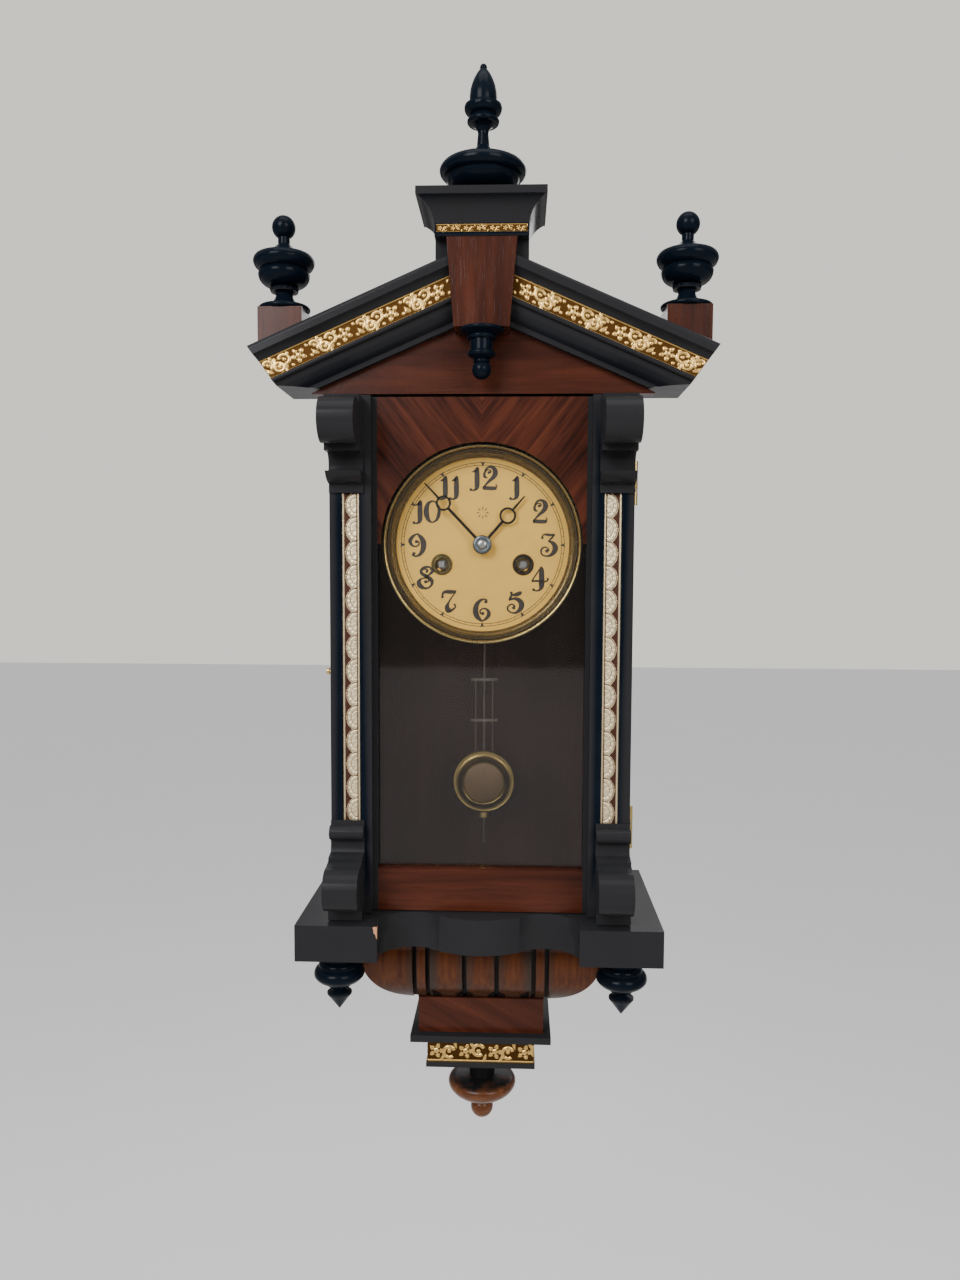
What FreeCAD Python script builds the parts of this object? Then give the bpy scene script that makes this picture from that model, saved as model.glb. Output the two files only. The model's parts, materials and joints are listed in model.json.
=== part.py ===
"""Pendulum wall clock: a two-train spring clock in a glazed case with a gabled top.

Millimetres. X runs to the right, Y into the wall and Z up. The origin is the hole of the
hanger plate, on the back of the case, so the wall is the plane Y = 0.
"""
import FreeCAD, Part
import math
import os
import re

import Sketcher

SIZES = {
    # Case: overall sizes
    "case_width": 200, "case_height": 359.5, "case_depth": 92, "side_thickness": 10,
    "back_thickness": 8, "top_thickness": 10, "hanger_height": 57.5, "board_peak": 78,
    "joint_gap": 0.3,
    # Hanger plate
    "hanger_hole": 8, "hanger_plate_width": 26, "hanger_plate_height": 44,
    "hanger_plate_thickness": 2, "hanger_relief": 14,
    # Gable
    "gable_width": 234, "gable_depth": 98, "gable_back": 60, "gable_board": 10, "soffit_thickness": 6,
    "soffit_overhang": 9,
    "rake_angle": 23.5, "apex_height": 97.1, "cornice_reach": 157, "cornice_front": 118,
    "upper_moulding": 11.6, "gilt_height": 13.6, "lower_moulding": 16.3, "gilt_front": 112,
    "gilt_thickness": 2, "cornice_tuck": 18.4, "cornice_foot": 3.5,
    # Keystone and crown
    "keystone_top": 46.6, "keystone_bottom": 36.8, "keystone_front": 120, "keystone_foot": 39.8,
    "keystone_head": 97.5, "crown_width": 84.8, "crown_neck": 62, "crown_front": 132, "crown_back": 72,
    "crown_height": 27.6, "slab_height": 5, "crown_cove": 14.5, "crown_gilt_height": 5.5,
    # Turned ornaments
    "crown_finial_height": 89.5, "corner_block": 31, "corner_block_top": 62.2, "corner_block_front": 88,
    "corner_block_back": 57, "corner_finial_height": 66.5, "base_drop_height": 48,
    "base_drop_offset": 100, "base_drop_depth": 100, "keystone_drop_height": 33.5,
    # Base and apron
    "base_width": 248, "base_depth": 135, "base_thickness": 25, "base_wing": 56, "base_step": 15,
    "serpentine_dip": 15, "serpentine_half": 48,
    "apron_width": 176, "apron_height": 50, "apron_depth": 90, "apron_foot_width": 93,
    "apron_foot_depth": 75, "apron_corner": 40, "lobe_width": 23.5, "fin_width": 9.5, "lobe_groove": 3.2,
    "block_width": 92, "block_height": 26, "ledge_width": 103, "ledge_depth": 82, "ledge_height": 5,
    "band_width": 78, "band_depth": 78, "band_height": 16, "plate_width": 80, "plate_depth": 80,
    "plate_height": 3.5, "bottom_drop_height": 59.5,
    # Door
    "door_overhang": 2.8, "door_thickness": 11, "door_clearance": 0.8, "column_width": 28.3, "column_front": 112,
    "glass_width": 143, "stile_bead": 4.3, "bottom_rail_height": 30, "top_rail_height": 9,
    "glass_thickness": 2, "glass_setback": 4, "rebate": 3, "spandrel_lap": 0.4,
    "spandrel_thickness": 3, "strip_width": 12.2, "strip_length": 226, "strip_drop": 68.5,
    "strip_recess": 2, "console_width": 23.3, "upper_console_height": 62.8, "lower_console_height": 66,
    # Hinges and latch
    "knuckle_radius": 1.8, "hinge_pin": 1.6, "pin_clearance": 0.05, "hinge_length": 30,
    "hinge_offset": 5, "hinge_setback": 2, "hinge_end": 45, "leaf_thickness": 1.2, "leaf_width": 14,
    "latch_drop": 191, "latch_setback": 12, "latch_reach": 16, "latch_thickness": 1.2,
    "stud_radius": 1.2, "stud_head": 2.3, "stud_length": 5.6, "latch_screw": 1.5,
    # Dial
    "dial_drop": 102.1, "dial_depth": 80, "dial_radius": 66, "dial_thickness": 0.8, "bezel_radius": 69.6,
    "bezel_inner": 61, "bezel_height": 11, "winding_offset": 28.8, "winding_drop": 13.8,
    "grommet_radius": 7.5, "grommet_hole": 4.7, "grommet_height": 1.6, "centre_hole": 4.4,
    # Movement
    "plate_half_width": 46, "plate_top": 52, "plate_bottom": 48, "plate_thickness": 1.6,
    "back_plate_depth": 38, "front_plate_depth": 72, "pillar_radius": 3, "pillar_inset": 6,
    "rail_width": 8, "rail_height": 6, "pivot_radius": 1.5, "running_gap": 0.05,
    "barrel_radius": 15, "barrel_height": 22, "wheel_radius": 16.5, "wheel_thickness": 1.6,
    "arbor_radius": 3.2, "square_side": 4, "square_end": 4,
    "centre_radius": 1.6, "pipe_radius": 2.6, "suspension_height": 44, "suspension_depth": 28,
    "cock_width": 14, "cock_gap": 8, "crutch_length": 30,
    # Gong
    "gong_radius": 36, "gong_wire": 1.1, "gong_pitch": 7, "gong_turns": 4, "gong_depth": 15,
    # Hands
    "minute_length": 59, "hour_length": 45, "blade_width": 2, "hand_thickness": 0.6,
    "minute_ring_at": 39.7, "hour_ring_at": 27, "minute_ring": 5.4, "hour_ring": 5.9,
    "ring_web": 1.5, "minute_angle": 43.5, "hour_angle": 41, "hub_radius": 6, "nut_radius": 3.6,
    # Pendulum
    "bob_rise": 49.5, "bob_radius": 23.8, "bob_thickness": 9, "rod_radius": 0.9, "grid_half": 6.5,
    "upper_bar_rise": 78, "lower_bar_rise": 46.5, "bar_half": 10.4, "bar_height": 2,
    "rod_clearance": 28.4, "nut_disc": 5, "nut_height": 4, "spring_length": 12, "spring_width": 6,
    "spring_thickness": 0.3,
    # Striking
    "hammer_height": 40, "hammer_offset": 42, "hammer_head": 4, "hammer_gap": 1.5,
}

GABLE = "(-hanger_height)"
BASE = "(-hanger_height - case_height)"
DIAL = "(-hanger_height - dial_drop)"
SLOPE = "tan(rake_angle * 1 deg)"
WORDS = re.compile(r"\b(" + "|".join(sorted(SIZES, key=len, reverse=True)) + r")\b")

doc = FreeCAD.newDocument("wall_clock")
nodes = []


# ---------------------------------------------------------------- helpers


def make_sheet():
    """Write every driving size into the sheet, one aliased row each."""
    sheet = doc.addObject("Spreadsheet::Sheet", "Sizes")
    for row, (alias, value) in enumerate(SIZES.items(), start=1):
        sheet.set("A%d" % row, alias)
        sheet.set("B%d" % row, str(value))
        sheet.setAlias("B%d" % row, alias)
    doc.recompute()
    return sheet


def bound(text):
    """An expression with each size's name turned into its cell of the sheet."""
    return WORDS.sub(r"Sizes.\1", str(text))


def value(text):
    """The present value of an expression."""
    result = sheet.evalExpression(bound(text))
    return float(getattr(result, "Value", result))


def tie(thing, prop, text):
    """Bind one property of an object to an expression."""
    thing.setExpression(prop, bound(text))


def place(thing, at=("0", "0", "0"), axis=None, angle="0"):
    """Bind an object's place, and its turn about one axis where it has one."""
    for name, text in zip("xyz", at):
        tie(thing, "Placement.Base." + name, text)
    if axis:
        thing.Placement = FreeCAD.Placement(
            FreeCAD.Vector(), FreeCAD.Rotation(FreeCAD.Vector(*axis), value(angle)))
        tie(thing, "Placement.Rotation.Angle", "(%s) * 1 deg" % angle)
    return thing


def node(thing, label):
    """Name a finished piece, which is written to its own file."""
    thing.Label = label
    nodes.append(thing)
    return thing


def box(name, across, deep, high):
    """A block between two expressions along each axis."""
    block = doc.addObject("Part::Box", name)
    for prop, (low, top) in zip(("Length", "Width", "Height"), (across, deep, high)):
        tie(block, prop, "(%s) - (%s)" % (top, low))
    return place(block, (across[0], deep[0], high[0]))


def rod(name, radius, start, length, along="y"):
    """A cylinder from a point, along +X, +Y or +Z."""
    bar = doc.addObject("Part::Cylinder", name)
    tie(bar, "Radius", radius)
    tie(bar, "Height", length)
    turn = {"x": ((0, 1, 0), "90"), "y": ((1, 0, 0), "-90"), "z": (None, "0")}[along]
    return place(bar, start, *turn)


def cut(name, base, *tools):
    """One piece less the others."""
    for index, tool in enumerate(tools):
        result = doc.addObject("Part::Cut", "%s_%d" % (name, index))
        result.Base = base
        result.Tool = tool
        base = result
    return base


def fuse(name, *pieces):
    """Several blanks made one piece."""
    result = doc.addObject("Part::MultiFuse", name)
    result.Shapes = list(pieces)
    result.Refine = True
    return result


def common(name, *pieces):
    """What several blanks share."""
    result = doc.addObject("Part::MultiCommon", name)
    result.Shapes = list(pieces)
    return result


def group(name, *pieces):
    """Separate solids that share one node."""
    result = doc.addObject("Part::Compound", name)
    result.Links = list(pieces)
    return result


def mirror(name, source):
    """The other hand of a piece, across the clock's middle plane."""
    result = doc.addObject("Part::Mirroring", name)
    result.Source = source
    result.Normal = FreeCAD.Vector(1, 0, 0)
    return result


def both_sides(name, source):
    """A piece and its mirror image, as two solids."""
    return group(name, source, mirror(name + "_other", source))


def outline(body, plane, points):
    """A closed sketch through points, tied to the sheet.

    A point is a pair of expressions. A point led by "arc" is the middle of an arc
    from the point before it to the point after it.
    """
    sketch = body.newObject("Sketcher::SketchObject", body.Name + "_outline")
    role = {"xy": "XY_Plane", "xz": "XZ_Plane", "yz": "YZ_Plane"}[plane]
    datum = next(item for item in body.Origin.OriginFeatures if item.Role == role)
    sketch.AttachmentSupport = [(datum, "")]
    sketch.MapMode = "FlatFace"
    corners = [point for point in points if point[0] != "arc"]
    spots = {point: FreeCAD.Vector(value(point[-2]), value(point[-1]), 0) for point in points}
    ring = points + [points[0]]
    edges = []
    index = 0
    while index < len(points):
        here = ring[index]
        middle = ring[index + 1] if ring[index + 1][0] == "arc" else None
        there = ring[index + 2] if middle else ring[index + 1]
        if middle:
            curve = Part.Arc(spots[here], spots[middle], spots[there])
        else:
            curve = Part.LineSegment(spots[here], spots[there])
        edge = sketch.addGeometry(curve, False)
        ends = (1, 2)
        if middle and sketch.getPoint(edge, 1).distanceToPoint(spots[here]) > 1e-4:
            ends = (2, 1)
        edges.append((edge, ends, middle))
        index += 2 if middle else 1
    for order, (edge, ends, middle) in enumerate(edges):
        following, next_ends, _ = edges[(order + 1) % len(edges)]
        sketch.addConstraint(Sketcher.Constraint("Coincident", edge, ends[1], following, next_ends[0]))
        pin_point(sketch, edge, ends[0], corners[order])
        if middle:
            mark = sketch.addGeometry(Part.Point(spots[middle]), True)
            sketch.addConstraint(Sketcher.Constraint("PointOnObject", mark, 1, edge))
            pin_point(sketch, mark, 1, middle[1:])
    return sketch


def pin_point(sketch, edge, end, point):
    """Hold one point of a sketch at a pair of expressions."""
    for kind, text in zip(("DistanceX", "DistanceY"), point):
        rule = Sketcher.Constraint(kind, -1, 1, edge, end, value(text))
        number = sketch.addConstraint(rule)
        tie(sketch, "Constraints[%d]" % number, text)


def prism(name, plane, points, start, end):
    """An outline made solid between two expressions along its plane's normal axis."""
    body = doc.addObject("PartDesign::Body", name)
    pad = body.newObject("PartDesign::Pad", name + "_pad")
    pad.Profile = outline(body, plane, points)
    tie(pad, "Length", "(%s) - (%s)" % (end, start))
    pad.Reversed = plane == "xz"
    shift = {"xy": ("0", "0", start), "xz": ("0", start, "0"), "yz": (start, "0", "0")}[plane]
    return place(body, shift)


def ball(neck, radius, height):
    """The last points of a turned outline: a round knob on a neck, up to a height."""
    middle = "%s - %s" % (height, radius)
    rise = "sqrt(%s * %s - %s * %s)" % (radius, radius, neck, neck)
    return [(neck, "%s - %s" % (middle, rise)), ("arc", radius, middle), ("0", height)]


def turned(name, points, at, along="z", way=1):
    """A turned piece: radius and height pairs from its foot, spun about its own axis.

    The foot stands at the given place and the piece rises along an axis, or hangs down
    or comes forward along it where way is -1.
    """
    body = doc.addObject("PartDesign::Body", name)
    spin = body.newObject("PartDesign::Revolution", name + "_turn")
    section = outline(body, "xz", points)
    spin.Profile = section
    spin.ReferenceAxis = (section, ["V_Axis"])
    spin.Angle = 360
    turns = {("z", 1): (None, "0"), ("z", -1): ((1, 0, 0), "180"),
             ("y", 1): ((1, 0, 0), "-90"), ("y", -1): ((1, 0, 0), "90"),
             ("x", 1): ((0, 1, 0), "90"), ("x", -1): ((0, 1, 0), "-90")}
    return place(body, at, *turns[(along, way)])


sheet = make_sheet()

# ---------------------------------------------------------------- case


def build_case():
    """Back board, sides and top, with the hanger plate let into the board."""
    half = "case_width / 2"
    shoulder = "%s + board_peak - %s * %s" % (GABLE, half, SLOPE)
    board = prism("board_blank", "xz", [
        ("-" + half, BASE), (half, BASE), (half, shoulder),
        ("0", GABLE + " + board_peak"), ("-" + half, shoulder)], "-back_thickness", "0")
    pocket = box("hanger_pocket", ("-hanger_plate_width / 2", "hanger_plate_width / 2"),
                 ("-hanger_plate_thickness", "1"),
                 ("-hanger_plate_height / 2", "hanger_plate_height / 2"))
    relief = rod("hanger_relief_hole", "hanger_relief / 2", ("0", "-back_thickness - 1", "0"),
                 "back_thickness + 2")
    node(cut("board", board, pocket, relief), "back_board")
    plate = box("hanger_blank", ("-hanger_plate_width / 2", "hanger_plate_width / 2"),
                ("-hanger_plate_thickness", "0"),
                ("-hanger_plate_height / 2", "hanger_plate_height / 2"))
    bore = rod("hanger_bore", "hanger_hole / 2", ("0", "-hanger_plate_thickness - 1", "0"),
               "hanger_plate_thickness + 2")
    node(cut("hanger", plate, bore), "hanger_plate")
    deep = ("-case_depth", "-back_thickness")
    inner = "%s - side_thickness" % half
    node(both_sides("sides", box("side", (inner, half), deep, (BASE, GABLE))), "side_panels")
    node(box("top", ("-(%s)" % inner, inner), deep, (GABLE + " - top_thickness", GABLE)), "top_board")


# ---------------------------------------------------------------- gable


def build_gable():
    """Tympanum, soffit, the two raking cornices and the keystone between them."""
    half = "gable_width / 2"
    depth = "(upper_moulding + gilt_height + lower_moulding)"
    lift = "apex_height - %s / cos(rake_angle * 1 deg)" % depth
    keystone = prism("keystone_block", "xz", [
        ("-keystone_bottom / 2", GABLE + " + keystone_foot"),
        ("keystone_bottom / 2", GABLE + " + keystone_foot"),
        ("keystone_top / 2", GABLE + " + keystone_head"),
        ("-keystone_top / 2", GABLE + " + keystone_head")], "-keystone_front", "-gable_back")
    node(keystone, "keystone")
    foot = "%s + %s - %s * %s" % (GABLE, lift, half, SLOPE)
    board = prism("tympanum_blank", "xz", [
        ("-" + half, GABLE), (half, GABLE), (half, foot),
        ("0", "%s + %s" % (GABLE, lift)), ("-" + half, foot)],
        "-gable_depth", "-gable_depth + gable_board")
    node(cut("tympanum_cut", board, keystone), "tympanum")
    reach = "case_width / 2 + soffit_overhang"
    soffit = box("soffit", ("-(%s)" % reach, reach), ("-gable_depth + gable_board", "-gable_back"),
                 (GABLE, GABLE + " + soffit_thickness * 0.6"))

    band = "upper_moulding"
    under = "(upper_moulding + gilt_height)"
    face = "-cornice_front"
    seat = "(-gilt_front + gilt_thickness)"
    blank = prism("cornice_blank", "yz", [
        ("-gable_back", "0"), (face + " + 3", "0"), ("arc", face + " + 0.9", "-0.9"), (face, "-3"),
        (face, "-%s * 0.62" % band), ("arc", face + " + 3.4", "-%s * 0.8" % band),
        ("-gilt_front - 0.6", "-" + band), (seat, "-" + band), (seat, "-" + under),
        ("-gilt_front - 1.4", "-" + under), ("arc", "-gilt_front - 2.6", "-%s - 1.6" % under),
        ("-gilt_front - 1.4", "-%s - 3.2" % under), ("-gilt_front + 0.5", "-%s - 3.6" % under),
        ("arc", "-gilt_front + 3.4", "-%s - 9" % under), ("-gable_depth - 5", "-%s - 13" % under),
        ("-gable_depth - 5", "-" + depth), ("-gable_back", "-" + depth)],
        "0", "cornice_reach / cos(rake_angle * 1 deg) + 20")
    top = GABLE + " + apex_height"
    place(blank, ("0", "0", top), (0, 1, 0), "rake_angle")
    tip = "%s - cornice_reach * %s" % (top, SLOPE)
    low = GABLE + " + cornice_foot"
    tuck = "cornice_reach - cornice_tuck"
    waste = prism("cornice_waste", "xz", [
        ("cornice_reach", tip), ("cornice_reach + 80", tip + " + 60"), ("cornice_reach + 80", low + " - 90"),
        ("gable_width / 4", low + " - 90"), ("gable_width / 4", low), (tuck, low)],
        "-cornice_front - 9", "0")
    strip = box("gilt_blank", ("0", "cornice_reach / cos(rake_angle * 1 deg) + 20"),
                ("-gilt_front", seat), ("-" + under, "-" + band))
    slant(strip, ("0", "-gilt_front", "-" + under), top)
    right = cut("cornice_cut", blank, waste, keystone)
    left = mirror("cornice_other", right)
    node(right, "raking_cornice_right")
    node(left, "raking_cornice_left")
    node(cut("soffit_cut", soffit, right, left), "gable_soffit")
    node(both_sides("gilt_pair", cut("gilt_cut", strip, waste, keystone)), "raking_gilt_strips")
    return right, keystone


def slant(block, corner, top):
    """Lay a block along the right-hand rake, its corner given in the rake's own frame."""
    turn = "(rake_angle * 1 deg)"
    across, deep, high = corner
    place(block, ("(%s) * cos%s + (%s) * sin%s" % (across, turn, high, turn), deep,
                  "%s - (%s) * sin%s + (%s) * cos%s" % (top, across, turn, high, turn)),
          (0, 1, 0), "rake_angle")


def build_crown(cornice, keystone):
    """Cap over the keystone, its gilt strip, the finials, blocks and drop."""
    foot = GABLE + " + keystone_head"
    top = "%s + crown_height" % foot
    slab = "%s - slab_height" % top
    cove = "%s - crown_cove" % slab
    neck = "crown_neck / 2"
    wide = "crown_width / 2"
    reach = "(%s - %s)" % (wide, neck)
    flank = [("-%s" % neck, foot), (neck, foot), (neck, cove),
             ("arc", "%s + %s * 0.3" % (neck, reach), "%s + crown_cove * 0.62" % cove),
             (wide + " - 1", slab), (wide, slab), (wide, top), ("-" + wide, top), ("-" + wide, slab),
             ("-%s + 1" % wide, slab),
             ("arc", "-%s - %s * 0.3" % (neck, reach), "%s + crown_cove * 0.62" % cove),
             ("-" + neck, cove)]
    front = "-crown_front + %s" % reach
    face = [(front, foot), (front, cove),
            ("arc", "%s - %s * 0.3" % (front, reach), "%s + crown_cove * 0.62" % cove),
            ("-crown_front + 1", slab), ("-crown_front", slab), ("-crown_front", top),
            ("-crown_back", top), ("-crown_back", foot)]
    cap = common("crown_shape", prism("crown_flank", "xz", flank, "-crown_front", "-crown_back"),
                 prism("crown_face", "yz", face, "-" + wide, wide))
    bed = box("crown_gilt_bed", ("-%s + 1" % neck, neck + " - 1"),
              (front, front + " + gilt_thickness / 2"),
              (cove + " - crown_gilt_height", cove + " - 0.6"))
    saddle = box("crown_saddle", ("-" + neck, neck), ("-gilt_front", "-crown_back"), (foot + " - 13", foot))
    other = mirror("cornice_shadow", cornice)
    node(fuse("crown", cut("crown_bedded", cap, bed),
              cut("crown_saddle_cut", saddle, keystone, cornice, other)), "crown_cap")
    node(box("crown_gilt", ("-%s + 1" % neck, neck + " - 1"), (front, front + " + gilt_thickness / 2"),
             (cove + " - crown_gilt_height", cove + " - 0.6")), "crown_gilt_strip")
    middle = "-(crown_front + crown_back) / 2"
    tall = "crown_finial_height"
    node(turned("crown_turning", [
        ("0", "0"), ("12.5", "0"), ("arc", "14", "1.3"), ("12.5", "2.6"), ("8.4", "3.4"),
        ("10.8", "5.6"), ("arc", "20.4", "8.4"), ("24.6", "15.4"), ("arc", "28.2", "17.4"), ("29", "20.6"),
        ("arc", "27.4", "23.4"), ("23.4", "25.2"), ("arc", "10.4", "29.4"), ("4.3", "36.4"),
        ("3.6", "44"), ("arc", "5.4", "48.6"), ("9.9", "50.4"), ("arc", "10.8", "52.4"), ("9.4", "54.2"),
        ("8.6", "56"), ("arc", "12.2", "58.6"), ("12.4", "62.4"), ("9", "64.4"),
        ("arc", "8.6", "73")] + ball("2.2", "2.4", tall), ("0", middle, top)), "crown_finial")

    high = "%s + corner_block_top" % GABLE
    out = "cornice_reach"
    low = "%s + apex_height - cornice_reach * %s" % (GABLE, SLOPE)
    block = box("corner_blank", (out + " - corner_block", out),
                ("-corner_block_front", "-corner_block_back"), (low + " - 20", high))
    solid = cut("corner_cut", block, cornice, under_rake())
    node(both_sides("corner_pair", solid), "corner_blocks")
    rise = "corner_finial_height"
    finial = turned("corner_turning", [
        ("0", "0"), ("16.6", "0"), ("arc", "18.2", "1.8"), ("17", "3.4"), ("arc", "8", "7"), ("6", "11"),
        ("arc", "6.6", "12.4"), ("9.6", "13.4"), ("10.4", "15.6"), ("8.6", "17"), ("arc", "16.4", "20.4"),
        ("18.2", "26"), ("17", "28.4"), ("arc", "20", "30.4"), ("21.6", "34.4"), ("arc", "20.6", "37.4"),
        ("17.6", "39.4"), ("arc", "9.4", "42.4"), ("4.2", "46.6")] + ball("4.2", "8.3", rise),
        (out + " - corner_block / 2", "-(corner_block_front + corner_block_back) / 2", high))
    node(both_sides("corner_finial_pair", finial), "corner_finials")

    fall = "keystone_drop_height"
    node(turned("drop_turning", [
        ("0", "0"), ("14", "0"), ("arc", "14.9", "1.2"), ("14", "2.4"), ("9", "4.4"), ("arc", "9.8", "6"),
        ("7.6", "7.6"), ("7.4", "14.6"), ("arc", "9.2", "16.2"), ("8.6", "18.2"), ("4.8", "20.4"),
        ("arc", "5.6", "21.4")] + ball("3.4", "6.5", fall),
        ("0", "-(keystone_front + gable_depth) / 2 - 5", GABLE + " + keystone_foot"), "z", -1), "keystone_drop")


def under_rake():
    """The space below the top line of the right-hand rake, to trim what stands on it."""
    top = GABLE + " + apex_height"
    far = "(cornice_reach + 40)"
    return prism("below_rake", "xz", [
        ("0", top), ("0", top + " - 150"), (far, top + " - 150"),
        (far, "%s - %s * %s" % (top, far, SLOPE))], "-corner_block_front - 1", "0")


# ---------------------------------------------------------------- base and apron


def build_base():
    """The serpentine base board and its two turned drops."""
    half = "base_width / 2"
    wing = "(%s - base_wing)" % half
    step = "-base_depth + base_step"
    dip = "-base_depth + base_step + serpentine_dip"
    turn = "(serpentine_half * 2 - %s)" % wing
    bend = "-base_depth + base_step + serpentine_dip * 0.52"
    board = prism("base_blank", "xy", [
        ("-" + half, "0"), ("-" + half, "-base_depth"), ("-" + wing, "-base_depth"), ("-" + wing, step),
        ("arc", "-serpentine_half", dip), ("-" + turn, bend), ("arc", "0", step), (turn, bend),
        ("arc", "serpentine_half", dip), (wing, step), (wing, "-base_depth"),
        (half, "-base_depth"), (half, "0")], BASE + " - base_thickness", BASE)
    node(board, "base_plinth")
    fall = "base_drop_height"
    drop = turned("base_drop_turning", [
        ("0", "0"), ("12", "0"), ("12", "11"), ("arc", "14", "13"), ("14.6", "16"), ("arc", "17.4", "19"),
        ("17.6", "23"), ("arc", "15", "26"), ("11.4", "27.6"), ("arc", "9", "30"), ("4", "32"),
        ("3.8", "34"), ("8.8", "35.4"), ("8.8", "36.6"), ("0", fall)],
        ("base_drop_offset", "-base_drop_depth", BASE + " - base_thickness"), "z", -1)
    node(both_sides("base_drop_pair", drop), "base_drops")


def build_apron():
    """Lobed apron, block, ledge, gilt band, bottom plate and the last turned drop."""
    top = "(%s - base_thickness)" % BASE
    low = "(%s - apron_height)" % top
    half = "apron_width / 2"
    foot = "apron_foot_width / 2"
    shelf = "%s - (apron_height - apron_corner)" % top
    bulge = "0.71"
    side = "(%s - %s)" % (half, foot)
    front = prism("apron_front", "xz", [
        ("-" + half, top), ("-" + half, shelf),
        ("arc", "-%s - %s * %s" % (foot, side, bulge), "%s - apron_corner * %s" % (shelf, bulge)),
        ("-" + foot, low), (foot, low),
        ("arc", "%s + %s * %s" % (foot, side, bulge), "%s - apron_corner * %s" % (shelf, bulge)),
        (half, shelf), (half, top)], "-apron_depth", "0")
    bend = "(apron_depth - apron_foot_depth)"
    flank = prism("apron_flank", "yz", [
        ("0", top), ("-apron_depth + 4", top), ("-apron_depth + 4", shelf),
        ("arc", "-apron_foot_depth - %s * 0.5" % bend, "%s - apron_corner * 0.72" % shelf),
        ("-apron_foot_depth + 2", low), ("0", low)], "-" + half, half)
    body = common("apron_body", front, flank)
    grooves = []
    edge = "lobe_width * 1.5 + lobe_groove"
    places = ["-lobe_width / 2", "lobe_width / 2", edge, "%s + fin_width" % edge,
              "-(%s)" % edge, "-(%s + fin_width)" % edge]
    for index, middle in enumerate(places):
        grooves.append(box("apron_groove_%d" % index,
                           ("%s - lobe_groove / 2" % middle, "%s + lobe_groove / 2" % middle),
                           ("-apron_depth - 1", "-apron_foot_depth + 4"), (low + " - 1", top + " + 1")))
    node(cut("apron_cut", body, *grooves), "gadroon_apron")
    levels = [("block", "block_width", "apron_foot_depth", "block_height"),
              ("ledge", "ledge_width", "ledge_depth", "ledge_height"),
              ("band", "band_width", "band_depth", "band_height"),
              ("plate", "plate_width", "plate_depth", "plate_height")]
    names = {"block": "apron_block", "ledge": "apron_ledge", "band": "apron_gilt_band",
             "plate": "apron_bottom_plate"}
    for name, width, depth, height in levels:
        floor = "(%s - %s)" % (low, height)
        node(box(name, ("-%s / 2" % width, width + " / 2"), ("-" + depth, "0"), (floor, low)), names[name])
        low = floor
    fall = "bottom_drop_height"
    node(turned("bottom_turning", [
        ("0", "0"), ("13", "0"), ("12.4", "3"), ("10", "6"), ("9.6", fall + " - 35"),
        ("22", fall + " - 33.9"), ("24.6", fall + " - 32.7"), ("arc", "26", fall + " - 28.7"),
        ("25.2", fall + " - 24.5"), ("arc", "19.4", fall + " - 16.8"), ("9.6", fall + " - 12.9")]
        + ball("7.9", "8.66", fall),
        ("0", "-plate_depth / 2", low), "z", -1), "bottom_drop")


# ---------------------------------------------------------------- door

OUTER = "(case_width / 2 + door_overhang)"
BACK = "(-case_depth - door_clearance)"
FACE = "(-case_depth - door_clearance - door_thickness)"
FOOT = "(-hanger_height - case_height + door_clearance)"
HEAD = "(-hanger_height - 3)"
OPENING = "(glass_width / 2)"
SILL = "(%s + bottom_rail_height)" % FOOT
LINTEL = "(%s - top_rail_height)" % HEAD


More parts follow.
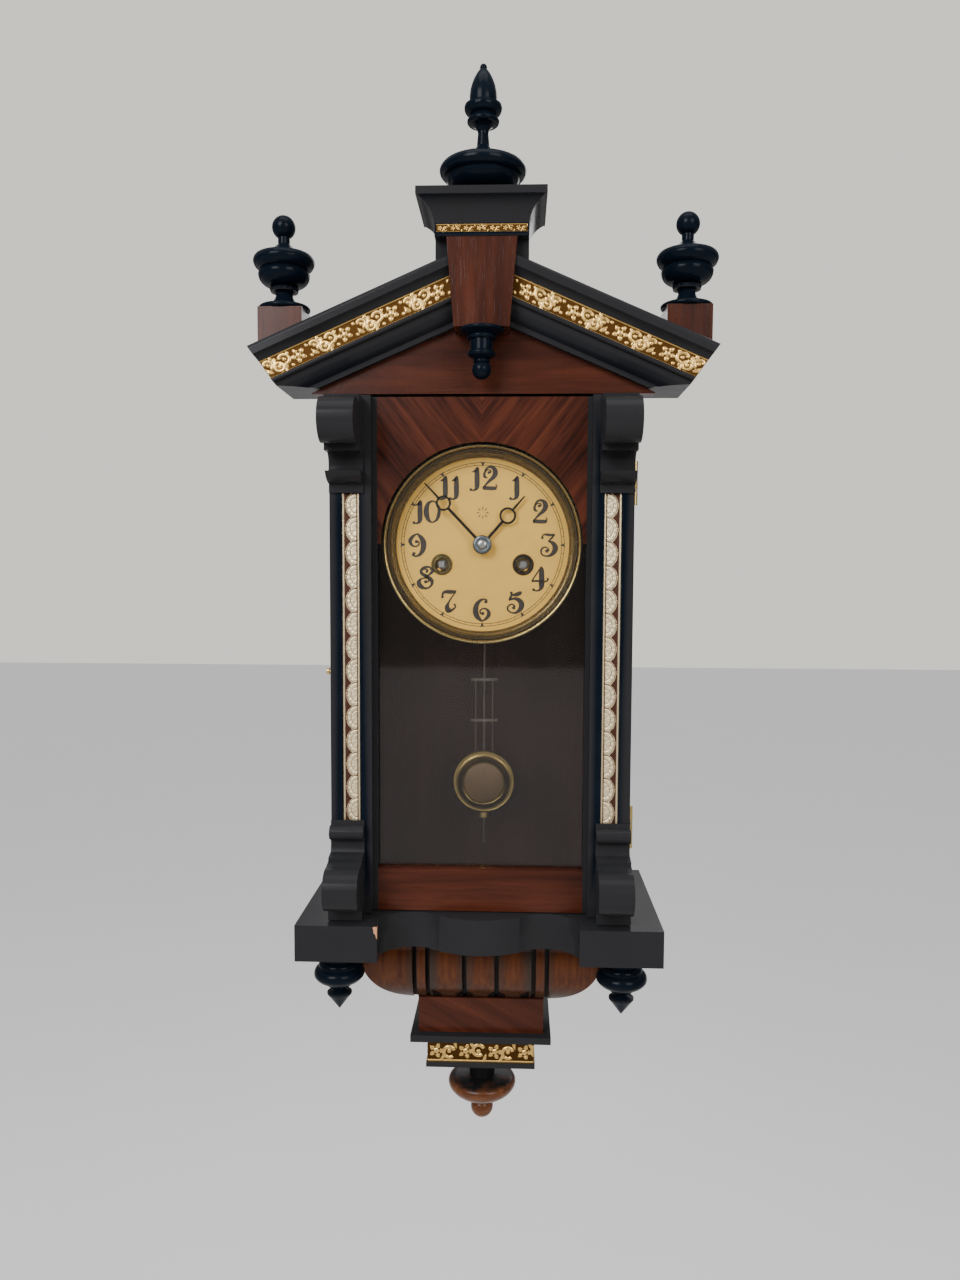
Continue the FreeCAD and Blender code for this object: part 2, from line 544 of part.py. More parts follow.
def build_door():
    """Glazed door: stiles, rails, veneered spandrel, pilasters with strips, and consoles."""
    pane = "%s - glass_setback" % BACK
    high = ("%s - rebate" % SILL, "%s + rebate" % LINTEL)
    thick = ("%s - glass_thickness" % pane, pane)
    wide = ("-%s - rebate" % OPENING, "%s + rebate" % OPENING)
    node(box("pane", wide, thick, high), "door_glass")
    rebate = box("pane_rebate", wide, thick, high)
    stile = box("stile_blank", (OPENING, OUTER), (FACE, BACK), (FOOT, HEAD))
    node(both_sides("stiles", cut("stile_cut", stile, rebate)), "door_stiles")
    across = ("-" + OPENING, OPENING)
    sill = box("sill_blank", across, (FACE, BACK), (FOOT, SILL))
    node(cut("sill_cut", sill, rebate), "door_bottom_rail")
    veneer = "(%s + spandrel_thickness)" % FACE
    lintel = box("lintel_blank", across, (veneer, BACK), (LINTEL, HEAD))
    node(cut("lintel_cut", lintel, rebate), "door_top_rail")
    panel = box("spandrel_blank", across, (FACE, veneer), (DIAL, HEAD))
    opening = rod("spandrel_opening", "bezel_radius - spandrel_lap", ("0", FACE + " - 1", DIAL), "spandrel_thickness + 2")
    node(cut("spandrel_cut", panel, opening), "door_spandrel")

    inner = "(%s - column_width)" % OUTER
    post = box("pilaster_blank", (inner, OUTER), ("-column_front", FACE), (FOOT, HEAD))
    middle = "(%s + column_width / 2)" % inner
    strip_x = ("%s - strip_width / 2" % middle, "%s + strip_width / 2" % middle)
    top = "(-hanger_height - strip_drop)"
    strip_z = (top + " - strip_length", top)
    bed = "(-column_front + strip_recess)"
    channel = box("strip_channel", strip_x, ("-column_front - 1", bed + " + 1.5"), strip_z)
    node(both_sides("pilaster_pair", cut("pilaster_cut", post, channel)), "pilasters")
    strip = box("strip", strip_x, (bed, bed + " + 1.5"), strip_z)
    node(both_sides("strip_pair", strip), "pilaster_gilt_strips")

    def console(name, steps, level, label):
        """A scrolled console: steps forward of the column and up from a level."""
        front = "-column_front"
        shape = []
        for step in steps:
            lead = step[:-2]
            shape.append(lead + ("%s - %s" % (front, step[-2]), "%s + %s" % (level, step[-1])))
        blank = prism(name, "yz", shape, "(%s - console_width)" % OUTER, OUTER)
        node(both_sides(name + "_pair", blank), label)

    console("upper_console", [
        ("0", "62.8"), ("18", "62.8"), ("18", "57.8"), ("21", "57.6"), ("arc", "42.5", "43.5"),
        ("22", "30.8"), ("18", "30.6"), ("18", "26.3"), ("6", "26.2"), ("arc", "2", "19.6"),
        ("3.4", "13.6"), ("15.6", "13.4"), ("arc", "10", "8.4"), ("1.4", "6"), ("1.4", "0"), ("0", "0")],
        "(%s - 2.5 - upper_console_height)" % HEAD, "upper_consoles")
    console("lower_console", [
        ("0", "0"), ("14", "0"), ("14", "9.6"), ("22", "9.8"), ("arc", "36", "24.4"), ("20", "38.6"),
        ("12", "40.4"), ("12", "42.6"), ("3.6", "44.2"), ("arc", "2", "48.4"), ("3", "53.6"),
        ("arc", "9.4", "58"), ("2", "62.6"), ("1.4", "66"), ("0", "66")],
        FOOT, "lower_consoles")


def build_hinges():
    """Two butt hinges: the case leaves carry the pins and the door leaves turn on them."""
    axis_x = "(case_width / 2 + hinge_offset)"
    axis_y = "(-case_depth - hinge_setback)"
    fixed = []
    moving = []
    part = "(hinge_length / 3)"
    gap = "joint_gap"
    for index, level in enumerate(("(%s + hinge_end)" % BASE, "(%s - hinge_end - hinge_length)" % GABLE)):
        high = (level, "%s + hinge_length" % level)
        plate = box("case_leaf_%d" % index, ("case_width / 2", "case_width / 2 + leaf_thickness"),
                    ("-case_depth", "-case_depth + leaf_width"), high)
        tongue = box("case_tongue_%d" % index, ("case_width / 2", axis_x),
                     (BACK + " + joint_gap", "-case_depth + leaf_thickness / 2"), high)
        notch = rod("case_notch_%d" % index, "knuckle_radius + joint_gap",
                    (axis_x, axis_y, "%s + %s - %s" % (level, part, gap)), "%s + 2 * %s" % (part, gap), "z")
        low = rod("case_knuckle_low_%d" % index, "knuckle_radius", (axis_x, axis_y, level),
                  "%s - %s" % (part, gap), "z")
        top = rod("case_knuckle_top_%d" % index, "knuckle_radius",
                  (axis_x, axis_y, "%s + 2 * %s + %s" % (level, part, gap)), "%s - %s" % (part, gap), "z")
        pin = rod("hinge_pin_%d" % index, "hinge_pin / 2", (axis_x, axis_y, level), "hinge_length", "z")
        fixed.append(fuse("case_hinge_%d" % index, cut("tongue_cut_%d" % index, tongue, notch),
                          plate, low, top, pin))
        leaf = box("door_leaf_%d" % index, (OUTER, OUTER + " + leaf_thickness"),
                   ("-column_front + 2", axis_y + " - knuckle_radius / 2"),
                   ("%s + %s" % (level, part), "%s + 2 * %s" % (level, part)))
        lug = box("door_lug_%d" % index, (OUTER, axis_x),
                  (axis_y + " - knuckle_radius", axis_y + " - knuckle_radius / 2"),
                  ("%s + %s" % (level, part), "%s + 2 * %s" % (level, part)))
        barrel = rod("door_knuckle_%d" % index, "knuckle_radius",
                     (axis_x, axis_y, "%s + %s" % (level, part)), part, "z")
        bore = rod("door_bore_%d" % index, "hinge_pin / 2 + pin_clearance", (axis_x, axis_y, level),
                   "hinge_length", "z")
        moving.append(cut("door_hinge_%d" % index, fuse("door_hinge_blank_%d" % index, leaf, lug, barrel), bore))
    node(group("case_leaves", *fixed), "hinge_case_leaves")
    node(group("door_leaves", *moving), "hinge_door_leaves")


def build_latch():
    """Hook on the left side of the case and the headed stud it reaches on the door."""
    level = "(-hanger_height - latch_drop)"
    pivot_y = "(-case_depth + latch_setback)"
    stud_y = "(%s - latch_reach)" % pivot_y
    shank = rod("stud_shank", "stud_radius", ("-%s - stud_length" % OUTER, stud_y, level), "stud_length", "x")
    head = rod("stud_cap", "stud_head", ("-%s - stud_length" % OUTER, stud_y, level), "stud_length - 3.6", "x")
    node(fuse("stud", shank, head), "latch_stud")
    near = "(-%s - 0.8)" % OUTER
    across = (near + " - latch_thickness", near)
    eye = rod("latch_eye", "3", (across[0], pivot_y, level), "latch_thickness", "x")
    arm = box("latch_arm", across, (pivot_y + " - 2", pivot_y + " + 2"),
              (level + " - latch_reach - 2.6", level))
    slot = rod("latch_slot", "stud_radius + joint_gap", (across[0] + " - 1", pivot_y, level + " - latch_reach"),
               "latch_thickness + 2", "x")
    mouth = box("latch_mouth", (across[0] + " - 1", near + " + 1"), (pivot_y + " - 3", pivot_y),
                (level + " - latch_reach - stud_radius - joint_gap",
                 level + " - latch_reach + stud_radius + joint_gap"))
    bore = rod("latch_bore", "latch_screw + running_gap", (across[0] + " - 1", pivot_y, level),
               "latch_thickness + 2", "x")
    node(cut("latch_cut", fuse("latch_blank", eye, arm), slot, mouth, bore), "latch_hook")
    post = rod("latch_post", "latch_screw", (across[0] + " - joint_gap", pivot_y, level),
               "-(case_width / 2) - (%s) + joint_gap" % across[0], "x")
    collar = rod("latch_collar", "latch_screw + 1", (near + " + joint_gap", pivot_y, level),
                 "-(case_width / 2) - (%s) - joint_gap" % near, "x")
    cap = rod("latch_cap", "latch_screw + 1", (across[0] + " - joint_gap - 1", pivot_y, level), "1", "x")
    node(fuse("latch_screw_shape", post, collar, cap), "latch_screw")


# ---------------------------------------------------------------- dial and movement


def build_dial():
    """Brass dial, its bezel and the two winding grommets."""
    front = "(-dial_depth - dial_thickness)"
    winding = "(%s - winding_drop)" % DIAL
    disc = rod("dial_disc", "dial_radius", ("0", front, DIAL), "dial_thickness")
    holes = [rod("dial_centre", "centre_hole", ("0", front + " - 1", DIAL), "dial_thickness + 2")]
    for index, side in enumerate(("-", "")):
        holes.append(rod("dial_winding_%d" % index, "grommet_hole", (side + "winding_offset", front + " - 1", winding),
                         "dial_thickness + 2"))
    feet = []
    for index, angle in enumerate((90, 210, 330)):
        feet.append(rod("dial_foot_%d" % index, "1.5",
                        ("cos(%d deg) * plate_bottom * 0.75" % angle, "-dial_depth",
                         "%s + sin(%d deg) * plate_bottom * 0.75" % (DIAL, angle)),
                        "dial_depth - front_plate_depth"))
    node(fuse("dial_shape", cut("dial_cut", disc, *holes), *feet), "dial")
    ring = turned("bezel_ring", [
        ("bezel_inner", "0"), ("bezel_radius", "0"), ("bezel_radius", "bezel_height - 1.4"),
        ("arc", "bezel_radius - 1.3", "bezel_height"), ("bezel_radius - 2.6", "bezel_height - 1.4"),
        ("bezel_radius - 4.2", "bezel_height - 2.6"), ("arc", "bezel_radius - 5", "bezel_height - 2.6"),
        ("bezel_radius - 5.8", "bezel_height - 3.8"), ("bezel_inner + 1.4", "2.8"), ("bezel_inner", "1.6")],
        ("0", front, DIAL), "y", -1)
    node(ring, "dial_bezel")
    ring = turned("grommet_ring", [
        ("grommet_hole", "0"), ("grommet_radius", "0"), ("arc", "grommet_radius - 0.6", "grommet_height * 0.8"),
        ("grommet_radius - 1.6", "grommet_height"), ("grommet_hole", "grommet_height * 0.7")],
        ("winding_offset", front, winding), "y", -1)
    node(both_sides("grommet_pair", ring), "winding_grommets")


def build_movement():
    """Plates, pillars, rails, suspension cock, barrels, centre arbor, gong and hammer."""
    low = "(%s - plate_bottom)" % DIAL
    high = "(%s + plate_top)" % DIAL
    winding = "(%s - winding_drop)" % DIAL
    hang = "(%s + suspension_height)" % DIAL
    half = "plate_half_width"
    gap = "running_gap"
    rear = "-back_plate_depth"
    face = "(-front_plate_depth + plate_thickness)"
    back = box("back_plate_blank", ("-" + half, half), (rear, rear + " + plate_thickness"), (low, high))
    front = box("front_plate_blank", ("-" + half, half), ("-front_plate_depth", face), (low, high))
    back_holes = [("arbor_b_l", "-winding_offset", winding, "pivot_radius"),
                  ("arbor_b_r", "winding_offset", winding, "pivot_radius"),
                  ("centre_b", "0", DIAL, "pivot_radius"), ("anchor_b", "0", hang, "pivot_radius"),
                  ("hammer_b", "-hammer_offset", "%s + hammer_height" % DIAL, "pivot_radius")]
    front_holes = [("arbor_f_l", "-winding_offset", winding, "arbor_radius"),
                   ("arbor_f_r", "winding_offset", winding, "arbor_radius"),
                   ("centre_f", "0", DIAL, "centre_radius"), ("anchor_f", "0", hang, "pivot_radius")]

    def drilled(name, plate, start, holes):
        """A plate with its pivot holes."""
        drills = [rod(hole, "%s + %s" % (radius, gap), (across, start + " - 1", level), "plate_thickness + 2")
                  for hole, across, level, radius in holes]
        return cut(name, plate, *drills)

    node(drilled("back_plate", back, rear, back_holes), "movement_back_plate")
    node(drilled("front_plate", front, "-front_plate_depth", front_holes), "movement_front_plate")
    pillars = []
    for index, (side, level) in enumerate((a, b) for a in ("-", "") for b in
                                          (low + " + pillar_inset", high + " - pillar_inset")):
        pillars.append(rod("pillar_%d" % index, "pillar_radius",
                           ("%s(%s - pillar_inset)" % (side, half), face, level),
                           "%s - %s" % (rear, face)))
    node(group("pillars", *pillars), "plate_pillars")
    rail = box("rail", ("%s - rail_width - 1" % half, half + " - 1"), ("-front_plate_depth", "-back_thickness"),
               (low + " - rail_height", low))
    node(both_sides("rail_pair", rail), "movement_rails")
    cock = box("cock", ("-cock_width / 2", "cock_width / 2"),
               (rear + " + plate_thickness", "-suspension_depth + 5"),
               (hang + " + cock_gap", hang + " + cock_gap + 6"))
    node(cock, "suspension_cock")

    def barrel(name, side, label):
        """A spring barrel with its great wheel, on an arbor that ends in a winding square."""
        wall = "%s - 6" % rear
        depth = "-barrel_height"
        axis = side + "winding_offset"
        drum = rod(name + "_drum", "barrel_radius", (axis, "%s + %s" % (wall, depth), winding), "barrel_height")
        wheel = rod(name + "_wheel", "wheel_radius", (axis, "%s + %s - wheel_thickness" % (wall, depth), winding),
                    "wheel_thickness")
        arbor = rod(name + "_arbor", "arbor_radius", (axis, "-front_plate_depth - 3", winding),
                    "%s - 1 + front_plate_depth + 3" % rear)
        pivot = rod(name + "_pivot", "pivot_radius", (axis, rear + " - 1", winding), "plate_thickness + 1")
        end = "(-dial_depth - square_end)"
        key = box(name + "_square", ("%s - square_side / 2" % axis, "%s + square_side / 2" % axis),
                  (end, "-front_plate_depth - 2"),
                  (winding + " - square_side / 2", winding + " + square_side / 2"))
        node(fuse(name + "_shape", drum, wheel, arbor, pivot, key), label)

    barrel("going", "", "going_barrel")
    barrel("strike", "-", "strike_barrel")
    wheel = rod("centre_wheel", "18", ("0", rear + " - 4.2", DIAL), "1.2")
    stem = rod("centre_stem", "centre_radius", ("0", "-dial_depth - 12.4", DIAL), "%s + dial_depth + 11.4" % rear)
    pivot = rod("centre_pivot", "pivot_radius", ("0", rear + " - 1", DIAL), "plate_thickness + 1")
    node(fuse("centre_shape", wheel, stem, pivot), "centre_arbor")

    arbor = rod("anchor_stem", "pivot_radius", ("0", "-front_plate_depth", hang),
                "front_plate_depth - suspension_depth - 3.6")
    bridge = prism("anchor_bridge", "xz", [
        ("-12", hang + " - 11"), ("-9.6", hang + " - 11"), ("arc", "0", hang + " - 1"), ("9.6", hang + " - 11"),
        ("12", hang + " - 11"), ("arc", "0", hang + " + 3")], rear + " - 14", rear + " - 12")
    crutch_y = ("-suspension_depth - 5", "-suspension_depth - 3.8")
    crutch = box("crutch_arm", ("-1.4", "1.4"), crutch_y, (hang + " - crutch_length", hang))
    prongs = []
    for index, side in enumerate(("-", "")):
        inner = "rod_radius + joint_gap"
        ends = (side + "(%s)" % inner, side + "(%s + 1.2)" % inner)
        prongs.append(box("prong_%d" % index, ends[::-1] if side else ends,
                          ("-suspension_depth - 5", "-suspension_depth + 2"),
                          (hang + " - crutch_length - 3", hang + " - crutch_length + 3")))
    bar = box("crutch_bar", ("-rod_radius - joint_gap - 1.2", "rod_radius + joint_gap + 1.2"), crutch_y,
              (hang + " - crutch_length - 3", hang + " - crutch_length + 3"))
    node(fuse("anchor_shape", arbor, bridge, crutch, bar, *prongs), "anchor_and_crutch")

    block = rod("gong_boss", "6", ("0", "-gong_depth - 2", DIAL), "gong_depth + 2 - back_thickness")
    node(block, "gong_block")
    build_gong()
    axle_z = "(%s + hammer_height)" % DIAL
    axle = rod("hammer_axle", "pivot_radius", ("-hammer_offset", rear + " - 1", axle_z),
               "back_plate_depth + 1 - gong_depth + 2.2")
    arm = rod("hammer_arm", "1.2", ("-hammer_offset", "-gong_depth", DIAL), "hammer_height", "z")
    touch = "(-gong_radius - gong_wire - hammer_gap)"
    head = rod("hammer_head_blank", "hammer_head", (touch + " - 10", "-gong_depth", DIAL), "10", "x")
    node(fuse("hammer_shape", axle, arm, head), "strike_hammer")


def build_gong():
    """A flat coil of round wire, made of half circles that step outwards, held at its inner end."""
    level = value(DIAL)
    depth = -value("gong_depth")
    step = value("gong_pitch") / 2
    halves = int(value("gong_turns") * 2)
    radius = value("gong_radius") - step * (halves - 1) / 2
    wire_radius = value("gong_wire")
    centre = step / 2
    edges = []
    start = FreeCAD.Vector(centre - radius, depth, level)
    for turn in range(halves):
        way = 1 if turn % 2 == 0 else -1
        centre = start.x + way * radius
        middle = FreeCAD.Vector(centre, depth, level + way * radius)
        end = FreeCAD.Vector(centre + way * radius, depth, level)
        edges.append(Part.Arc(start, middle, end).toShape())
        start = end
        radius += step / 2
    edges.insert(0, Part.LineSegment(FreeCAD.Vector(-6, depth, level), edges[0].firstVertex().Point).toShape())
    path = Part.Wire(edges[1:])
    ring = Part.Wire(Part.makeCircle(wire_radius, edges[1].firstVertex().Point, FreeCAD.Vector(0, 0, 1)))
    coil = path.makePipeShell([ring], True, False)
    foot = edges[1].firstVertex().Point
    reach = abs(foot.x) - value("6 - gong_wire / 2")
    tail = Part.makeCylinder(wire_radius, reach, FreeCAD.Vector(foot.x, depth, level), FreeCAD.Vector(1, 0, 0))
    knot = Part.makeSphere(wire_radius, foot)
    boss = Part.makeCylinder(6, 40, FreeCAD.Vector(0, depth - 20, level), FreeCAD.Vector(0, 1, 0))
    gong = doc.addObject("Part::Feature", "gong_coil_shape")
    gong.Shape = coil.fuse([tail, knot]).cut(boss)
    node(gong, "gong_coil")


# ---------------------------------------------------------------- hands and pendulum


def build_hands():
    """Hour hand on its pipe, minute hand on the centre arbor, and the nut that holds it."""
    front = "(-dial_depth - dial_thickness)"

    def hand(name, length, ring_at, ring, angle, depth, hub, bore):
        """A straight blade with an open ring, turned to its hour."""
        back = "(%s - %s)" % (front, depth)
        thick = (back + " - hand_thickness", back)
        span = prism(name + "_blade", "xz", [
            ("-blade_width / 2", "0"), ("blade_width / 2", "0"), ("blade_width / 2", ring_at + " - 1"),
            ("0.5", length), ("-0.5", length), ("-blade_width / 2", ring_at + " - 1")], *thick)
        place(span, ("0", thick[0], DIAL), (0, 1, 0), angle)
        across = "sin((%s) * 1 deg) * %s" % (angle, ring_at)
        up = "%s + cos((%s) * 1 deg) * %s" % (DIAL, angle, ring_at)
        hoop = rod(name + "_hoop", ring, (across, thick[0], up), "hand_thickness")
        eye = rod(name + "_eye", ring + " - ring_web", (across, thick[0] + " - 1", up), "hand_thickness + 2")
        boss = rod(name + "_boss", hub, ("0", thick[0], DIAL), "hand_thickness")
        hole = rod(name + "_hole", bore, ("0", thick[0] + " - 1", DIAL), "hand_thickness + 40")
        return cut(name + "_cut", fuse(name + "_blank", span, hoop), eye), boss, hole

    blade, boss, hole = hand("hour", "hour_length", "hour_ring_at", "hour_ring", "hour_angle", "3.2",
                             "hub_radius * 0.8", "centre_radius + running_gap")
    pipe = rod("hour_pipe", "pipe_radius", ("0", front + " - 3.2 - hand_thickness", DIAL),
               "7 + hand_thickness")
    node(cut("hour", fuse("hour_whole", blade, boss, pipe), hole), "hour_hand")
    blade, boss, hole = hand("minute", "minute_length", "minute_ring_at", "minute_ring", "-minute_angle",
                             "6", "hub_radius", "centre_radius")
    node(cut("minute", fuse("minute_whole", blade, boss), hole), "minute_hand")
    seat = "(%s - 6 - hand_thickness)" % front
    washer = rod("hand_washer", "hub_radius + 0.6", ("0", seat + " - 0.9", DIAL), "0.9")
    hexagon = doc.addObject("Part::Prism", "hand_hexagon")
    hexagon.Polygon = 6
    tie(hexagon, "Circumradius", "nut_radius")
    tie(hexagon, "Height", "2.6")
    place(hexagon, ("0", seat + " - 3.5", DIAL), (1, 0, 0), "-90")
    bore = rod("hand_nut_bore", "centre_radius", ("0", seat + " - 6", DIAL), "12")
    node(cut("nut_cut", fuse("nut_blank", washer, hexagon), bore), "hand_nut")


def build_pendulum():
    """Suspension spring, grid rod, bob and rating nut."""
    hang = "(%s + suspension_height)" % DIAL
    axis_y = "-suspension_depth"
    low = "(%s - spring_length)" % hang
    strip = box("spring_strip", ("-spring_thickness / 2", "spring_thickness / 2"),
                (axis_y + " - spring_width / 2", axis_y + " + spring_width / 2"),
                (low, hang + " + cock_gap - joint_gap"))
    cheek = box("spring_cheek", ("-1.6", "1.6"), (axis_y + " - 2.4", axis_y + " + 2.4"), (low + " - 4", low))
    node(fuse("spring_shape", strip, cheek), "suspension_spring")
    top = "(%s - 4)" % low
    foot = "(%s + rod_clearance)" % BASE
    centre = "(%s + bob_rise)" % foot
    pieces = [rod("pendulum_stem", "rod_radius", ("0", axis_y, foot), "%s - %s" % (top, foot), "z")]
    last = "bob_radius * 0.4"
    for index, rise in enumerate(("upper_bar_rise", "lower_bar_rise", last)):
        wide = "bar_half" if index < 2 else "(grid_half + 1)"
        pieces.append(box("grid_bar_%d" % index, ("-" + wide, wide), (axis_y + " - 0.9", axis_y + " + 0.9"),
                          ("%s + %s - bar_height / 2" % (centre, rise), "%s + %s + bar_height / 2" % (centre, rise))))
    for index, side in enumerate(("-", "")):
        pieces.append(rod("grid_rod_%d" % index, "0.6", (side + "grid_half", axis_y, "%s + %s" % (centre, last)),
                          "upper_bar_rise - " + last, "z"))
    node(fuse("pendulum_shape", *pieces), "pendulum_rod")
    back = "(-suspension_depth - 1.4)"
    disc = turned("bob_disc", [
        ("0", "0"), ("bob_radius - 2", "0"), ("arc", "bob_radius", "2"), ("bob_radius - 1.4", "4.4"),
        ("bob_radius - 5.6", "bob_thickness - 1.6"), ("arc", "bob_radius - 6.6", "bob_thickness"),
        ("bob_radius - 7.6", "bob_thickness - 1.4"), ("0", "bob_thickness - 1.4")],
        ("0", back, centre), "y", -1)
    strap = box("bob_strap", ("-3.4", "3.4"), (back, axis_y + " + 1.6"),
                (centre + " - bob_radius - 0.4", centre + " - bob_radius * 0.55"))
    way = rod("bob_bore", "rod_radius + running_gap", ("0", axis_y, centre + " - 60"), "120", "z")
    node(fuse("bob_shape", disc, cut("strap_cut", strap, way)), "pendulum_bob")
    seat = "(%s - bob_radius - 0.4 - nut_height - joint_gap)" % centre
    nut = rod("rating_disc", "nut_disc", ("0", axis_y, seat), "nut_height", "z")
    bore = rod("rating_bore", "rod_radius + running_gap", ("0", axis_y, seat + " - 1"), "nut_height + 2", "z")
    node(cut("rating_cut", nut, bore), "rating_nut")


# ---------------------------------------------------------------- build and write


def write_parts():
    """Check every object and each piece's solid, then write one file per piece."""
    doc.recompute()
    faults = [item.Name for item in doc.Objects if {"Invalid", "Error"} & set(item.State)]
    for piece in nodes:
        shape = piece.Shape
        if shape.isNull() or not shape.isValid() or not shape.Solids:
            faults.append(piece.Label)
    if faults:
        raise SystemExit("unsound objects: %s" % ", ".join(faults))
    os.makedirs("parts", exist_ok=True)
    for piece in nodes:
        piece.Shape.exportStep("parts/%s.step" % piece.Label)
        print("%-24s %2d solids %10.1f mm3" % (piece.Label, len(piece.Shape.Solids), piece.Shape.Volume))
    print(len(nodes), "nodes")


build_case()
cornice, keystone = build_gable()
build_crown(cornice, keystone)
build_base()
build_apron()
build_door()
build_hinges()
build_latch()
build_dial()
build_movement()
build_hands()
build_pendulum()
write_parts()
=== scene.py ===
"""Looks of a pendulum wall clock: finishes, carved and stamped detail, dial, lights and camera.

The clock hangs on a wall at the plane Y = 0, with its front towards -Y and Z up. Every
length is in metres, and each piece takes its place from the frame that it is built around.
"""
import json
import logging
import math
from dataclasses import dataclass, field
from enum import Enum
from typing import Callable, Iterable, Sequence

import bmesh
import bpy
from mathutils import Matrix, Vector

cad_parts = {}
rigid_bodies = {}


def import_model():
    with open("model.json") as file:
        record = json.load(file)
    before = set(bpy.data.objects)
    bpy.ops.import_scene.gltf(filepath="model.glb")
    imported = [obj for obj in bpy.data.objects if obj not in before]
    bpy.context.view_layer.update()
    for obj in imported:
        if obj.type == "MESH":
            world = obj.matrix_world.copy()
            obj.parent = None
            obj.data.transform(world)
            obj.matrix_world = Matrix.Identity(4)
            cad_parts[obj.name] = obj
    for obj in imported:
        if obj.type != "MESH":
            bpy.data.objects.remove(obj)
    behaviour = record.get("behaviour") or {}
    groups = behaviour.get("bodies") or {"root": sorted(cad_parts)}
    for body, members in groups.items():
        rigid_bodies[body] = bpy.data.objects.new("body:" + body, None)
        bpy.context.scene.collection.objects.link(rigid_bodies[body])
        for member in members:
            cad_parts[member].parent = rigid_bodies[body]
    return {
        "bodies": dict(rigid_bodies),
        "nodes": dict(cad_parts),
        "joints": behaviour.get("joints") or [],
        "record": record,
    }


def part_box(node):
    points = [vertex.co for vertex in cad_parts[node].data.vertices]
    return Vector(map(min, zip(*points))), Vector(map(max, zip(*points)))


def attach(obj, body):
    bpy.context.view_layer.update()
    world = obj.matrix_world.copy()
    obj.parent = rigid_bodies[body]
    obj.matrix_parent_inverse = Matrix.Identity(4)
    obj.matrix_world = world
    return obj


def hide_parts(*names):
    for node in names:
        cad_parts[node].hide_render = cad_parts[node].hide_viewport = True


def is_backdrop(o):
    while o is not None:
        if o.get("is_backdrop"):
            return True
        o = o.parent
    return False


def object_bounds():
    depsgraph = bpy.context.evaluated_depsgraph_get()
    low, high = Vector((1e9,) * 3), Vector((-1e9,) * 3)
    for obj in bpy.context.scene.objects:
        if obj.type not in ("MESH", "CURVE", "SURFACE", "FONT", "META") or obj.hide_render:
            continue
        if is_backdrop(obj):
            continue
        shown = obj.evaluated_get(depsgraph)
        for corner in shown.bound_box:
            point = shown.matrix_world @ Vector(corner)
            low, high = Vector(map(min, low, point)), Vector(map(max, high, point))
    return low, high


logging.basicConfig(level=logging.INFO, format="%(name)s: %(message)s")
log = logging.getLogger("wall_clock")

MM = 0.001
Colour = tuple[float, float, float]
Point2 = tuple[float, float]


def mm(*values: float) -> Vector:
    """A vector given in millimetres."""
    return Vector(values) * MM


# ---------------------------------------------------------------- finishes


